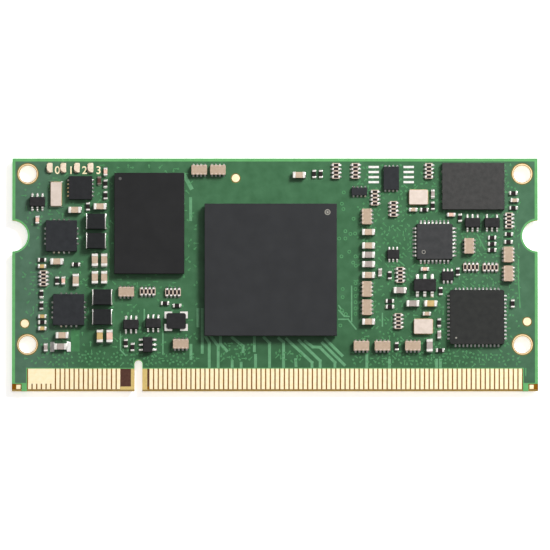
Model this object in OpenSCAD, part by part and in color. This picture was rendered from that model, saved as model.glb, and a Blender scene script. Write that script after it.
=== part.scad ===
// System on module in small-outline memory-module form: a circuit board with edge contacts,
// a processor, a memory, a flash, two transceivers, power converters and their small parts.
// Millimetres. X runs along the contact edge, Y from the contacts to the top edge, Z up.
// The board lies on the capacitors of its back, with the component side up.

/* [Board] */
// Length of the board along the contact edge
board_length = 67.6; // [60:0.1:82]
// Width of the board from the contact edge to the top edge
board_width = 30; // [27:0.25:50]
// Thickness of the board over its two solder-mask films
board_thickness = 1; // [0.8:0.05:1.6]
// Thickness of each solder-mask film and of the bare metal pads in it
film_t = 0.04; // [0.02:0.01:0.06]
// Radius of the half-round latch notch in each side edge
latch_notch_r = 2; // [1:0.1:2.2]
// Height of the latch notches above the contact edge
latch_notch_up = 20; // [19.5:0.1:20.5]
// Width of the key notch in the contact edge
key_notch_w = 1; // [0.6:0.1:1.4]
// Depth of the key notch
key_notch_depth = 4; // [3.2:0.1:4.4]
// Distance of the key notch to the left of the board's middle
key_notch_left = 17.55; // [17.3:0.05:17.8]
// Bevel on the two corners of the contact edge
contact_bevel = 0.2; // [0.1:0.05:0.24]

/* [Edge contacts] */
// Distance from one contact to the next
contact_pitch = 0.6; // [0.55:0.01:0.6]
// Width of a contact
contact_w = 0.45; // [0.3:0.05:0.5]
// Gap between the contacts and the contact edge
contact_setback = 0.25; // [0.25:0.05:0.6]
// Height of the top of the contacts above the contact edge
contact_top = 2.9; // [2.4:0.1:3.2]
// Number of contacts on one face, left of the key notch, where the board has room
contacts_left = 20; // [10:1:30]
// Number of contacts on one face, right of the key notch, where the board has room
contacts_right = 80; // [40:1:90]
// Least distance from a side edge to the middle of the end contact
contact_end = 2.3; // [2:0.05:2.3]
// Distance from the key notch to the nearest contact on its left
key_to_left = 2.55; // [2.1:0.05:2.55]
// Distance from the key notch to the nearest contact on its right
key_to_right = 1.65; // [1.4:0.05:1.65]
// Number of contacts at the left end that are joined into one pad
joined_contacts = 6; // [2:1:8]
// Free length of the joined contacts below the pad
joined_slit = 0.7; // [0.3:0.1:1.2]
// Bare laminate between the end contacts and the solder mask
contact_window = 0.12; // [0.05:0.01:0.2]

/* [Mounting holes] */
// Clear diameter of a mounting hole inside its plating
hole_d = 2.2; // [1.6:0.1:2.3]
// Wall of the plating in a hole
hole_plating = 0.05; // [0.03:0.01:0.08]
// Outer diameter of the gold ring round a hole
hole_ring_d = 2.6; // [2.5:0.05:3]
// Distance of the holes from the side edges
hole_side = 2; // [1.8:0.1:2.2]
// Distance of the upper holes from the top edge
hole_top = 2; // [1.8:0.1:2.4]
// Height of the lower holes above the contact edge
hole_up = 6; // [5.6:0.1:6.4]
// Bare laminate between a gold pad and the solder mask round it
mask_gap = 0.1; // [0.05:0.05:0.2]

/* [Bare pads] */
// Diameter of an optical alignment mark
fiducial_d = 1.05; // [0.8:0.05:1.2]
// Side of the square gold pad in each lower corner
corner_pad = 0.55; // [0.4:0.05:0.7]
// Distance of the corner pads' middles from the side edges
corner_pad_side = 0.85; // [0.7:0.05:0.9]
// Height of the corner pads' middles above the contact edge
corner_pad_up = 0.55; // [0.5:0.05:0.6]
// Size of the bare patch of laminate in each lower corner
corner_patch = [1.25, 0.95]; // [1:0.05:1.5]
// Length of a tinned pad of the unused footprint
spare_pad_l = 1.35; // [1:0.05:1.5]
// Width of a tinned pad of the unused footprint
spare_pad_w = 0.3; // [0.2:0.05:0.4]
// Distance from one pad of the unused footprint to the next
spare_pad_pitch = 0.65; // [0.5:0.05:0.7]
// Distance between the two columns of the unused footprint
spare_pad_span = 4.5; // [4.3:0.1:4.8]

/* [Processor] */
// Side of the processor package
processor_size = 17; // [13:0.5:19]
// Thickness of the processor's laminate
processor_substrate_t = 0.36; // [0.2:0.02:0.6]
// Thickness of the processor's mould cap
processor_mould_t = 0.7; // [0.4:0.05:1]
// Distance from one processor ball to the next
processor_ball_pitch = 0.8; // [0.65:0.05:1]
// Diameter of a processor ball at its belly
processor_ball_d = 0.46; // [0.4:0.02:0.55]
// Height of the processor above the board
processor_ball_h = 0.36; // [0.2:0.02:0.5]
// Least distance from the outer balls to the package edge
processor_ball_margin = 0.8; // [0.6:0.1:1.2]

/* [Memory] */
// Length of the memory package
memory_l = 13; // [11:0.5:14]
// Width of the memory package
memory_w = 9; // [8:0.5:10]
// Thickness of the memory's laminate
memory_substrate_t = 0.2; // [0.15:0.01:0.3]
// Thickness of the memory's mould cap
memory_mould_t = 0.6; // [0.4:0.05:0.8]
// Distance from one memory ball to the next
memory_ball_pitch = 0.8; // [0.65:0.05:0.9]
// Diameter of a memory ball at its belly
memory_ball_d = 0.45; // [0.4:0.02:0.55]
// Height of the memory above the board
memory_ball_h = 0.3; // [0.2:0.02:0.4]
// Least distance from the outer balls to the ends of the package
memory_ball_margin = 0.45; // [0.35:0.05:0.6]
// Number of ball columns on each side of the bare middle
memory_columns = 3; // [1:1:3]
// Distance between the innermost ball columns of the two sides
memory_middle = 3.2; // [2.4:0.1:3.6]
// Diameter of the pad under and over every ball
ball_pad_d = 0.34; // [0.24:0.02:0.38]

/* [Leadless packages] */
// Length of the flat terminals under the leadless packages
terminal_l = 0.4; // [0.25:0.05:0.45]
// Width of the flat terminals of the fine-pitch packages
terminal_w = 0.25; // [0.15:0.01:0.3]
// Thickness of the flat terminals
terminal_t = 0.2; // [0.1:0.02:0.3]
// Distance between the terminals and the middle pad
terminal_to_pad = 0.25; // [0.15:0.05:0.4]
// Reach of the solder beyond the transceivers
transceiver_toe = 0.35; // [0.2:0.05:0.45]
// Reach of the solder beyond the other leadless packages
terminal_toe = 0.25; // [0.1:0.05:0.4]
// Least distance from the outer terminals to the package corners
terminal_corner = 0.72; // [0.65:0.01:0.75]

/* [Flash] */
// Length of the flash package
flash_l = 8; // [6:0.5:8]
// Width of the flash package
flash_w = 6; // [5:0.5:6]
// Height of the flash package
flash_h = 0.8; // [0.5:0.05:1]
// Distance from one flash terminal to the next
flash_pitch = 1.27; // [1:0.01:1.27]
// Width of a flash terminal
flash_terminal_w = 0.4; // [0.3:0.02:0.5]
// Least distance from the outer flash terminals to the package corners
flash_corner = 1; // [0.8:0.05:1.2]
// Reach of the solder beyond the flash package
flash_toe = 0.1; // [0.05:0.05:0.4]

/* [Transceivers] */
// Side of the network transceiver package
network_size = 7; // [5:0.5:7]
// Height of the network transceiver package
network_h = 0.85; // [0.5:0.05:1]
// Distance from one network terminal to the next
network_pitch = 0.5; // [0.4:0.05:0.65]
// Corner radius of the network transceiver's mould
network_corner_r = 0.3; // [0.1:0.05:0.4]
// Side of the USB transceiver package over its terminals
usb_size = 5; // [4:0.5:5]
// Height of the USB transceiver package
usb_h = 0.9; // [0.6:0.05:1]
// Distance from one USB terminal to the next
usb_pitch = 0.5; // [0.4:0.05:0.65]
// Length of each USB terminal outside the mould
usb_terminal_out = 0.12; // [0.05:0.01:0.2]
// Slope of the USB transceiver's mould from its foot to its top
usb_draft = 0.16; // [0.05:0.01:0.3]
// Corner radius of the USB transceiver's mould
usb_corner_r = 0.3; // [0.1:0.05:0.4]

/* [Power] */
// Side of a converter package
converter_size = 4; // [3:0.1:4]
// Height of a converter package
converter_h = 0.9; // [0.5:0.05:1]
// Distance from one converter terminal to the next
converter_pitch = 0.65; // [0.5:0.05:0.65]
// Side of the regulator package
regulator_size = 3; // [2.8:0.1:3]
// Height of the regulator package
regulator_h = 0.8; // [0.5:0.05:1]
// Distance from one regulator terminal to the next
regulator_pitch = 0.5; // [0.4:0.05:0.55]
// Length of an inductor
inductor_l = 2.5; // [2:0.1:2.6]
// Width of an inductor
inductor_w = 2; // [1.6:0.1:2.2]
// Height of an inductor
inductor_h = 1.2; // [0.8:0.1:1.4]
// Length of an inductor's end caps
inductor_band = 0.1; // [0.05:0.05:0.5]
// Width of the solder at each corner of an inductor
inductor_solder_w = 0.35; // [0.2:0.05:0.6]
// Distance of that solder's outer side beyond the side of an inductor
inductor_solder_out = 0.05; // [0:0.01:0.1]

/* [Small packages] */
// Length of the parameter memory package
eeprom_l = 3; // [2.6:0.1:3]
// Width of the parameter memory package
eeprom_w = 2; // [2:0.05:2.2]
// Height of the parameter memory package
eeprom_h = 0.6; // [0.4:0.05:0.8]
// Length of the level shifter package
shifter_l = 2; // [2:0.05:2.1]
// Width of the level shifter package
shifter_w = 1; // [1:0.05:1.2]
// Height of the level shifter package
shifter_h = 0.5; // [0.4:0.05:0.6]
// Distance from one terminal of the small packages to the next
small_pitch = 0.5; // [0.4:0.05:0.5]

/* [Gull-wing packages] */
// Thickness of the gull-wing leads
gull_t = 0.12; // [0.08:0.01:0.16]
// Gap under the gull-wing bodies
gull_standoff = 0.06; // [0.02:0.01:0.1]
// Slope of the gull-wing bodies on each side of their parting line
gull_draft = 0.06; // [0.02:0.01:0.08]
// Length of the six-lead logic bodies
logic_l = 2; // [1.8:0.05:2.1]
// Width of the six-lead logic bodies
logic_w = 1.25; // [1.1:0.05:1.3]
// Height of the six-lead logic bodies
logic_h = 0.9; // [0.6:0.05:1]
// Distance from one logic lead to the next
logic_pitch = 0.65; // [0.5:0.05:0.7]
// Width of a logic lead
logic_lead_w = 0.25; // [0.15:0.01:0.3]
// Reach of a logic lead from its body
logic_reach = 0.45; // [0.4:0.01:0.5]
// Length of the small switch bodies
switch_l = 1.6; // [1.5:0.05:1.7]
// Width of the small switch bodies
switch_w = 1.2; // [1.1:0.05:1.3]
// Height of the small switch bodies
switch_h = 0.56; // [0.5:0.02:0.7]
// Distance from one switch lead to the next
switch_pitch = 0.5; // [0.4:0.05:0.55]
// Width of a switch lead
switch_lead_w = 0.22; // [0.15:0.01:0.25]
// Reach of a switch lead from its body
switch_reach = 0.3; // [0.28:0.01:0.35]
// Length of the load switch body
load_l = 2.9; // [2.7:0.05:3]
// Width of the load switch body
load_w = 1.6; // [1.4:0.05:1.7]
// Height of the load switch body
load_h = 1.1; // [0.8:0.05:1.3]
// Distance from one load switch lead to the next
load_pitch = 0.95; // [0.8:0.05:1]
// Width of a load switch lead
load_lead_w = 0.4; // [0.3:0.02:0.5]
// Reach of a load switch lead from its body
load_reach = 0.6; // [0.5:0.02:0.65]

/* [Crystals] */
// Length of the watch crystal
watch_l = 3.2; // [2.8:0.1:3.3]
// Width of the watch crystal
watch_w = 1.5; // [1.2:0.1:1.6]
// Width of the solder at each end of the watch crystal
watch_solder_w = 1.8; // [1.5:0.1:2]
// Length of the two clock crystals and of the oscillator
crystal_l = 2.5; // [2:0.1:2.6]
// Width of the two clock crystals and of the oscillator
crystal_w = 2; // [1.6:0.1:2.1]
// Height of the ceramic base of a crystal
crystal_base_h = 0.45; // [0.3:0.05:0.6]
// Height of the metal lid of a crystal
crystal_lid_h = 0.15; // [0.08:0.01:0.25]
// Edge of the ceramic base that shows round the lid
crystal_rim = 0.05; // [0.03:0.01:0.15]
// Corner radius of a crystal's lid
crystal_lid_r = 0.1; // [0.05:0.05:0.3]
// Radius of the hollow in each corner of a ceramic base
crystal_corner_r = 0.15; // [0.1:0.01:0.2]
// Height of the oscillator above its corner pads
oscillator_h = 0.75; // [0.5:0.05:0.9]
// Size of the corner pads under the oscillator
oscillator_pad = [1, 0.9]; // [0.8:0.05:1]
// Reach of the corner pads beyond the oscillator
oscillator_pad_out = 0.25; // [0.1:0.05:0.3]

/* [Chips] */
// Length of a large chip
large_l = 1.6; // [1.3:0.05:1.7]
// Width of a large chip
large_w = 0.8; // [0.6:0.05:0.9]
// Height of a large chip
large_h = 0.8; // [0.5:0.05:0.9]
// Length of a large chip's end caps
large_band = 0.35; // [0.2:0.05:0.5]
// Length of a small chip
small_l = 1; // [0.8:0.05:1.05]
// Width of a small chip
small_w = 0.5; // [0.4:0.02:0.56]
// Height of a small capacitor
small_h = 0.5; // [0.4:0.02:0.6]
// Length of a small chip's end caps
small_band = 0.22; // [0.15:0.01:0.3]
// Height of a resistor and of the diode
resistor_h = 0.35; // [0.25:0.01:0.45]
// Thickness of the black glaze on a resistor
glaze_t = 0.03; // [0.02:0.005:0.05]
// Thickness of the plated end caps
cap_wall = 0.02; // [0.01:0.005:0.04]
// Reach of the solder beyond a chip's end
chip_toe = 0.14; // [0.08:0.01:0.18]
// Width of the solder of the capacitor that stands on large lands
land_w = 1.3; // [0.8:0.05:1.4]
// Reach of that solder beyond the capacitor's ends
land_toe = 0.55; // [0.2:0.05:0.6]
// Height of the solder on a chip's end
chip_solder_h = 0.2; // [0.1:0.01:0.25]

/* [Chip arrays] */
// Length of an array of four chips
array_l = 2; // [1.9:0.05:2.1]
// Distance from one chip of an array to the next
array_pitch = 0.5; // [0.45:0.01:0.52]
// Width of the terminals of an array
array_terminal_w = 0.28; // [0.2:0.02:0.34]
// Length of the terminals on top of an array
array_band = 0.2; // [0.12:0.01:0.25]
// Width of a resistor array
resistor_array_w = 1; // [0.8:0.05:1.05]
// Height of a resistor array
resistor_array_h = 0.45; // [0.3:0.05:0.5]
// Width of the glaze over each resistor of an array
array_glaze_w = 0.3; // [0.2:0.02:0.4]
// Gap between that glaze and the terminals
array_glaze_gap = 0.03; // [0:0.01:0.1]
// Width of the slots between the terminals of a resistor array
array_slot_w = 0.2; // [0.08:0.01:0.2]
// Length of the straight stretch of those slots
array_slot_l = 0.1; // [0.02:0.01:0.1]
// Width of a capacitor array
capacitor_array_w = 1.25; // [1:0.05:1.3]
// Height of a capacitor array
capacitor_array_h = 0.85; // [0.6:0.05:1]
// Reach of the solder beyond an array
array_toe = 0.25; // [0.1:0.01:0.28]

/* [Light-emitting diodes] */
// Number of light-emitting diodes in the row
led_count = 4; // [1:1:4]
// Distance from one light-emitting diode to the next
led_pitch = 1.75; // [1.5:0.05:1.75]
// Distance of the first light-emitting diode from the left edge
led_side = 4.8; // [4.4:0.05:5]
// Distance of the row of light-emitting diodes from the top edge
led_top = 1.25; // [0.9:0.05:1.3]
// Length of a light-emitting diode
led_l = 1.3; // [1:0.05:1.6]
// Width of a light-emitting diode
led_w = 0.75; // [0.5:0.05:0.8]
// Height of the base of a light-emitting diode
led_base_h = 0.15; // [0.1:0.01:0.2]
// Length of the lens of a light-emitting diode along its straight side
led_lens_l = 1.2; // [0.8:0.05:1.25]
// Height of the lens of a light-emitting diode
led_lens_h = 0.3; // [0.2:0.02:0.4]

/* [Capacitors on the back] */
// Columns and rows of capacitors under the processor
processor_back_grid = [5, 6]; // [2:1:6]
// Distance between those columns
processor_back_x = 2.6; // [1.6:0.1:2.8]
// Distance between those rows
processor_back_y = 2.2; // [1:0.1:2.4]
// Columns and rows of capacitors under the memory
memory_back_grid = [2, 5]; // [1:1:5]
// Distance between those columns
memory_back_x = 3.2; // [1.6:0.1:4]
// Distance between those rows
memory_back_y = 2.2; // [1:0.1:2.4]

/* [Hidden] */
$fn = 48;
// Turn of a part that stands across the board
ACROSS = 90;
// Overrun of a cut beyond the face that it leaves by
cut = 0.1;
// Heights of the laminate and of the two mask faces
back_z = small_h;
laminate_t = board_thickness - 2 * film_t;
laminate_z = back_z + film_t;
front_z = back_z + board_thickness;
hole_drill_d = hole_d + 2 * hole_plating;
// Ends of the two blocks of contacts
left_room = board_length / 2 - key_notch_left - key_to_left - contact_end;
right_room = board_length / 2 + key_notch_left - key_to_right - contact_end;
left_steps = min(contacts_left - 1, floor(left_room / contact_pitch + 0.01));
right_steps = min(contacts_right - 1, floor(right_room / contact_pitch + 0.01));
first_contact = -key_notch_left - key_to_left - left_steps * contact_pitch;
last_contact = -key_notch_left + key_to_right + right_steps * contact_pitch;
// Terminals on each side of the leadless packages
flash_count = fitting(flash_w, flash_corner, flash_pitch);
network_count = fitting(network_size, terminal_corner, network_pitch);
usb_count = fitting(usb_size, terminal_corner, usb_pitch);
converter_count = fitting(converter_size, terminal_corner, converter_pitch);
regulator_count = 5;
small_count = 4;
// Pads in each column of the unused footprint, and chips in an array
spare_rows = 4;
array_count = 4;
// Share of a gull-wing lead's reach that lies before its bend
gull_knee = 0.25;
// Middle of the solder at an inductor's corners
inductor_solder_y = (inductor_w - inductor_solder_w) / 2 + inductor_solder_out;
// Board on which the placements were drawn: they spread with the length and the width
standard_length = 67.6;
standard_width = 30;
// Placements from the middle of the board: X, Y, turn
processor_spot = [-0.55, 0.55, 0];
memory_spot = [-16.15, 6.55, ACROSS];
flash_spot = [25.5, 11.35, 0];
network_spot = [25.95, -5.5, 0];
usb_spot = [20.5, 4.2, 0];
converter_spots = [[-27.45, 4.95, 0], [-26.5, -4.55, 0]];
regulator_spot = [-25, 11.15, 0];
eeprom_spot = [14.95, 12.4, ACROSS];
spare_spot = [14.95, 12.9, 0];
shifter_spot = [10.85, 10.7, 0];
logic_spots = [
    [-30.55, 9.35, 0], [-18.5, -6.45, 0], [-15.65, -6.3, 0],
    [-16.35, -9.05, ACROSS], [25.4, 6.65, 0]
];
logic_five_spot = [27.9, 6.65, 0];
switch_spots = [[15.2, 2.6, 0], [22.2, -0.2, 0]];
load_spot = [19.25, -1.4, 0];
inductor_spots = [
    [-23, 6.8, 0], [-23, 4.3, 0], [-22.2, -2.95, 0], [-22.2, -5.5, 0]
];
watch_spot = [-28.15, 10.35, ACROSS];
crystal_spots = [[18.45, 9.95, 0], [19.05, -6.7, 0]];
oscillator_spot = [-12.7, -6, 0];
diode_spots = [[-22.6, 12.1, ACROSS]];
led_spots = [
    for (i = [0 : led_count - 1]) [from_left(led_side + i * led_pitch), from_top(led_top), ACROSS]
];
fiducial_spots = [
    [from_left(1.65), from_contact_edge(8.7), 0], [from_right(1.4), from_contact_edge(8.95), 0],
    [-5.05, 12.45, 0]
];
corner_spots = [
    [from_left(corner_pad_side), from_contact_edge(corner_pad_up), 0],
    [from_right(corner_pad_side), from_contact_edge(corner_pad_up), 0]
];
land_spot = [-27.55, -9.3, 0];
large_spots = [
    [-25.75, 8.3, 0], [-22.5, 8.75, 0], [-28.05, 1.65, 0], [-27.35, -7.85, 0],
    [-23.15, 1.85, ACROSS], [-21.95, 1.85, ACROSS], [-23.15, -0.4, ACROSS],
    [-21.95, -0.4, ACROSS], [-25.6, -0.75, ACROSS], [-22.5, -7.95, ACROSS],
    [-21.25, -7.95, ACROSS],
    [3.1, 12.8, 0],
    [12, 5.45, 0], [12, 3.7, 0], [12, 2.5, 0], [12, 1.3, 0],
    [12, -0.1, 0], [12, -6.1, 0], [16.05, -2.05, 0], [17.7, -3.75, 0],
    [20, -3.75, 0], [19.85, -9.15, ACROSS]
];
small_spots = [
    [-30.55, 7.05, ACROSS], [-27.2, -0.8, ACROSS], [-21.8, 13.25, ACROSS],
    [-29.45, -9.4, ACROSS], [-29.95, 1.05, 0], [-29.9, -5.4, 0], [-29.9, -6.95, 0],
    [13.5, 0.25, ACROSS], [20.3, 10.4, ACROSS], [21.1, -7.75, ACROSS],
    [17.75, 8.35, 0], [22.65, 7.7, 0], [19.25, 0.7, 0], [19.5, -5.05, 0],
    [beside(flash_spot, 5.3), 9.55, 0]
];
resistor_spots = [
    [-24.05, 8.75, ACROSS], [-28, -0.8, ACROSS], [-30, -2.5, ACROSS],
    [-30, -4, ACROSS], [-21.8, 11.7, ACROSS], [-21.8, 10.2, ACROSS],
    [-19.15, -8.85, ACROSS], [-18.3, -9.35, ACROSS],
    [-29.95, 1.9, 0], [-25.6, 1.3, 0], [-29.9, -6.15, 0], [-14.15, -3.7, 0],
    [-12.6, -4, 0],
    [5.05, 12.95, ACROSS], [5.9, 12.95, ACROSS],
    [14.75, -0.1, ACROSS], [20.3, 8.85, ACROSS], [23.8, 7.3, ACROSS],
    [23.5, 0.35, ACROSS], [21.3, -2.15, ACROSS], [beside(network_spot, 4.6), -3.75, ACROSS],
    [21.1, -6.2, ACROSS], [15.65, -9.25, ACROSS],
    [14.75, -3.4, 0], [14.75, -4.15, 0], [19.2, 8.35, 0],
    [27.9, 4.75, 0], [27.9, 3.95, 0], [27.9, 3.15, 0], [beside(flash_spot, 5.15), 10.5, 0],
    [beside(flash_spot, 5.15), 8.6, 0], [30.05, 5.2, 0], [30, 4.2, 0], [21.2, -9.75, 0]
];
resistor_array_spots = [
    [-29.75, -0.5, ACROSS], [7.85, 13.35, ACROSS], [10.35, 13.35, ACROSS],
    [12.85, 9.9, ACROSS], [15.25, 8.45, ACROSS], [16.1, -0.05, ACROSS],
    [15.85, -6, ACROSS], [19.8, 13.35, ACROSS], [30.1, 6.95, ACROSS],
    [-16.35, -2.2, 0], [-13.1, -2.3, 0], [25.2, 0.95, 0], [27.7, 0.9, 0]
];
capacitor_array_spots = [
    [-19.1, -2.25, 0], [-12.1, -8.95, 0], [-9.75, 13.45, 0], [-7.35, 13.45, 0],
    [11.1, -9.2, 0], [13.8, -9.2, 0], [17.7, -9.2, 0],
    [11.8, 7.45, ACROSS], [11.8, -1.9, ACROSS], [11.8, -4.25, ACROSS],
    [24.95, 3.65, ACROSS], [30, 2.55, ACROSS], [30, 0.1, ACROSS]
];
// Leads on each side of a gull-wing package, counted in pitches from its middle
all_three = [-1, 0, 1];
outer_two = [-1, 1];

// Position of a placement on the board
function spot_x(s) = s[0] * board_length / standard_length;
function spot_y(s) = s[1] * board_width / standard_width;
// Coordinates that keep their distance from an edge of the board or from another placement
function from_right(d) = (board_length / 2 - d) * standard_length / board_length;
function from_left(d) = -from_right(d);
function from_top(d) = (board_width / 2 - d) * standard_width / board_width;
function from_contact_edge(d) = -from_top(d);
function beside(spot, d) = spot[0] + d * standard_length / board_length;
// Number of items at one pitch that fit along a side, clear of its ends
function fitting(side, margin, pitch) = floor((side - 2 * margin) / pitch + 0.01) + 1;
// Offset of item i of a centred row
function row_at(i, count, pitch) = (i - (count - 1) / 2) * pitch;

// Puts its children on the board at each placement of a list
module at_each(spots, z = front_z) {
    for (s = spots)
        translate([spot_x(s), spot_y(s), z])
            rotate([0, 0, s[2]])
                children();
}

// Plate with round corners, standing on z = 0
module rounded_plate(x, y, h, r) {
    linear_extrude(h) {
        square([x - 2 * r, y], center = true);
        square([x, y - 2 * r], center = true);
        for (sx = [-1, 1], sy = [-1, 1])
            translate([sx * (x / 2 - r), sy * (y / 2 - r)])
                circle(r);
    }
}

// Block from the middle of z = 0 upwards
module block(x, y, h) {
    translate([-x / 2, -y / 2, 0])
        cube([x, y, h]);
}

// Solder that climbs from the board to a wall at x = 0, reaching outwards along +X
module solder_toe(width, reach, height) {
    rotate([90, 0, 0])
        linear_extrude(width, center = true)
            polygon([[0, 0], [reach, 0], [0, height]]);
}

// Board outline with its notches, and the places of its holes

module board_outline() {
    difference() {
        square([board_length, board_width], center = true);
        for (side = [-1, 1])
            translate([side * board_length / 2, latch_notch_up - board_width / 2])
                circle(latch_notch_r);
        translate([-key_notch_left, -board_width / 2]) {
            translate([-key_notch_w / 2, -cut])
                square([key_notch_w, key_notch_depth - key_notch_w / 2 + cut]);
            translate([0, key_notch_depth - key_notch_w / 2])
                circle(d = key_notch_w);
        }
    }
}

module at_holes() {
    for (side = [-1, 1], y = [board_width / 2 - hole_top, hole_up - board_width / 2])
        translate([side * (board_length / 2 - hole_side), y])
            children();
}

// Long wedge that bevels a corner of the contact edge
module contact_edge_bevel() {
    rotate([90, 0, 90])
        linear_extrude(board_length + 2 * cut, center = true)
            polygon([
                [-cut, -cut], [contact_bevel, -cut], [contact_bevel, 0],
                [0, contact_bevel], [-cut, contact_bevel]
            ]);
}

module board() {
    color([0.72, 0.6, 0.36])
        difference() {
            translate([0, 0, laminate_z])
                linear_extrude(laminate_t)
                    difference() {
                        board_outline();
                        at_holes()
                            circle(d = hole_drill_d);
                    }
            translate([0, -board_width / 2, laminate_z])
                contact_edge_bevel();
            translate([0, -board_width / 2, laminate_z + laminate_t])
                mirror([0, 0, 1])
                    contact_edge_bevel();
        }
}

// Mask film: the outline less the contact area, the lower corners and the holes
module mask_outline() {
    difference() {
        board_outline();
        translate([first_contact - contact_w / 2 - contact_window, -board_width / 2 - cut])
            square([last_contact - first_contact + contact_w + 2 * contact_window, contact_top + cut]);
        for (side = [-1, 1])
            translate([side * board_length / 2, -board_width / 2])
                square(2 * corner_patch, center = true);
        at_holes()
            circle(d = hole_ring_d + 2 * mask_gap);
    }
}

module solder_mask_front() {
    color([0.2, 0.47, 0.3])
        translate([0, 0, laminate_z + laminate_t])
            linear_extrude(film_t)
                difference() {
                    mask_outline();
                    for (s = fiducial_spots)
                        translate([spot_x(s), spot_y(s)])
                            circle(d = fiducial_d + 2 * mask_gap);
                }
}

module solder_mask_back() {
    color([0.2, 0.47, 0.3])
        translate([0, 0, back_z])
            linear_extrude(film_t)
                mask_outline();
}

// Row of contacts on one face, with the joined pad at its left end
module contact_row() {
    pad_w = (joined_contacts - 1) * contact_pitch + contact_w;
    pad_up = contact_setback + joined_slit;
    lefts = [for (i = [0 : left_steps]) first_contact + i * contact_pitch];
    rights = [for (i = [0 : right_steps]) last_contact - i * contact_pitch];
    linear_extrude(film_t) {
        for (x = concat(lefts, rights))
            translate([x - contact_w / 2, contact_setback - board_width / 2])
                square([contact_w, contact_top - contact_setback]);
        translate([first_contact - contact_w / 2, pad_up - board_width / 2])
            square([pad_w, contact_top - pad_up]);
    }
}

module edge_contacts_front() {
    color([0.95, 0.82, 0.5])
        translate([0, 0, laminate_z + laminate_t])
            contact_row();
}

module edge_contacts_back() {
    color([0.95, 0.82, 0.5])
        translate([0, 0, back_z])
            contact_row();
}

// Plated barrel of each hole, with a ring on both faces
module mounting_hole_plating() {
    color([0.95, 0.82, 0.5])
        translate([0, 0, back_z])
            at_holes()
                rotate_extrude()
                    polygon([
                        [hole_d / 2, 0], [hole_ring_d / 2, 0], [hole_ring_d / 2, film_t],
                        [hole_drill_d / 2, film_t], [hole_drill_d / 2, film_t + laminate_t],
                        [hole_ring_d / 2, film_t + laminate_t], [hole_ring_d / 2, board_thickness],
                        [hole_d / 2, board_thickness]
                    ]);
}

module gold_pads() {
    color([0.95, 0.85, 0.6]) {
        at_each(fiducial_spots, laminate_z + laminate_t)
            cylinder(d = fiducial_d, h = film_t);
        at_each(corner_spots, laminate_z + laminate_t)
            block(corner_pad, corner_pad, film_t);
    }
}

// Pads of the footprint that stays empty beside the parameter memory
module spare_footprint_pads() {
    color([0.88, 0.88, 0.86])
        at_each([spare_spot])
            for (side = [-1, 1], i = [0 : spare_rows - 1])
                translate([side * spare_pad_span / 2, row_at(i, spare_rows, spare_pad_pitch), 0])
                    block(spare_pad_l, spare_pad_w, film_t);
}

// Ball-grid packages

// Reflowed solder ball: pad, belly, pad
module solder_ball(belly_d, h) {
    rotate_extrude($fn = 16)
        polygon([[0, 0], [ball_pad_d / 2, 0], [belly_d / 2, h / 2], [ball_pad_d / 2, h], [0, h]]);
}

module processor_substrate() {
    color([0.25, 0.3, 0.22])
        at_each([processor_spot], front_z + processor_ball_h)
            block(processor_size, processor_size, processor_substrate_t);
}

module processor_mould() {
    color([0.2, 0.2, 0.21])
        at_each([processor_spot], front_z + processor_ball_h + processor_substrate_t)
            block(processor_size, processor_size, processor_mould_t);
}

module processor_solder_balls() {
    count = fitting(processor_size, processor_ball_margin, processor_ball_pitch);
    rows = [for (i = [0 : count - 1]) row_at(i, count, processor_ball_pitch)];
    color([0.8, 0.8, 0.8])
        at_each([processor_spot])
            for (x = rows, y = rows)
                translate([x, y, 0])
                    solder_ball(processor_ball_d, processor_ball_h);
}

module memory_substrate() {
    color([0.25, 0.3, 0.22])
        at_each([memory_spot], front_z + memory_ball_h)
            block(memory_l, memory_w, memory_substrate_t);
}

module memory_mould() {
    color([0.17, 0.17, 0.18])
        at_each([memory_spot], front_z + memory_ball_h + memory_substrate_t)
            block(memory_l, memory_w, memory_mould_t);
}

module memory_solder_balls() {
    count = fitting(memory_l, memory_ball_margin, memory_ball_pitch);
    rows = [for (i = [0 : count - 1]) row_at(i, count, memory_ball_pitch)];
    columns = [for (j = [0 : memory_columns - 1]) memory_middle / 2 + j * memory_ball_pitch];
    color([0.8, 0.8, 0.8])
        at_each([memory_spot])
            for (x = rows, y = columns, side = [-1, 1])
                translate([x, side * y, 0])
                    solder_ball(memory_ball_d, memory_ball_h);
}

// Leadless packages

// Puts its children at each terminal round a package, with +X pointing out of its edge.
// count_x terminals stand on each side that runs along X, count_y on each that runs along Y.
module round_package(x, y, count_x, count_y, pitch) {
    for (turn = [0, 180])
        rotate([0, 0, turn]) {
            if (count_y > 0)
                for (i = [0 : count_y - 1])
                    translate([x / 2, row_at(i, count_y, pitch), 0])
                        children();
            if (count_x > 0)
                for (i = [0 : count_x - 1])
                    translate([row_at(i, count_x, pitch), y / 2, 0])
                        rotate([0, 0, 90])
                            children();
        }
}

// Flat terminal ending at a package edge; over is the overrun when it is used as a cutter
module flat_terminal(width, over = 0) {
    translate([-terminal_l, -width / 2, -over])
        cube([terminal_l + over, width, terminal_t + over]);
}

// Terminals and middle pad of a leadless package
module leadframe(x, y, count_x, count_y, pitch, width, over = 0) {
    inset = terminal_l + terminal_to_pad;
    pad_x = x - 2 * (count_y > 0 ? inset : terminal_to_pad);
    pad_y = y - 2 * (count_x > 0 ? inset : terminal_to_pad);
    round_package(x, y, count_x, count_y, pitch)
        flat_terminal(width, over);
    translate([0, 0, -over])
        block(pad_x, pad_y, terminal_t + over);
}

// Sawn mould round a leadframe
module sawn_mould(x, y, h, count_x, count_y, pitch, width) {
    difference() {
        block(x, y, h);
        leadframe(x, y, count_x, count_y, pitch, width, cut);
    }
}

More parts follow.
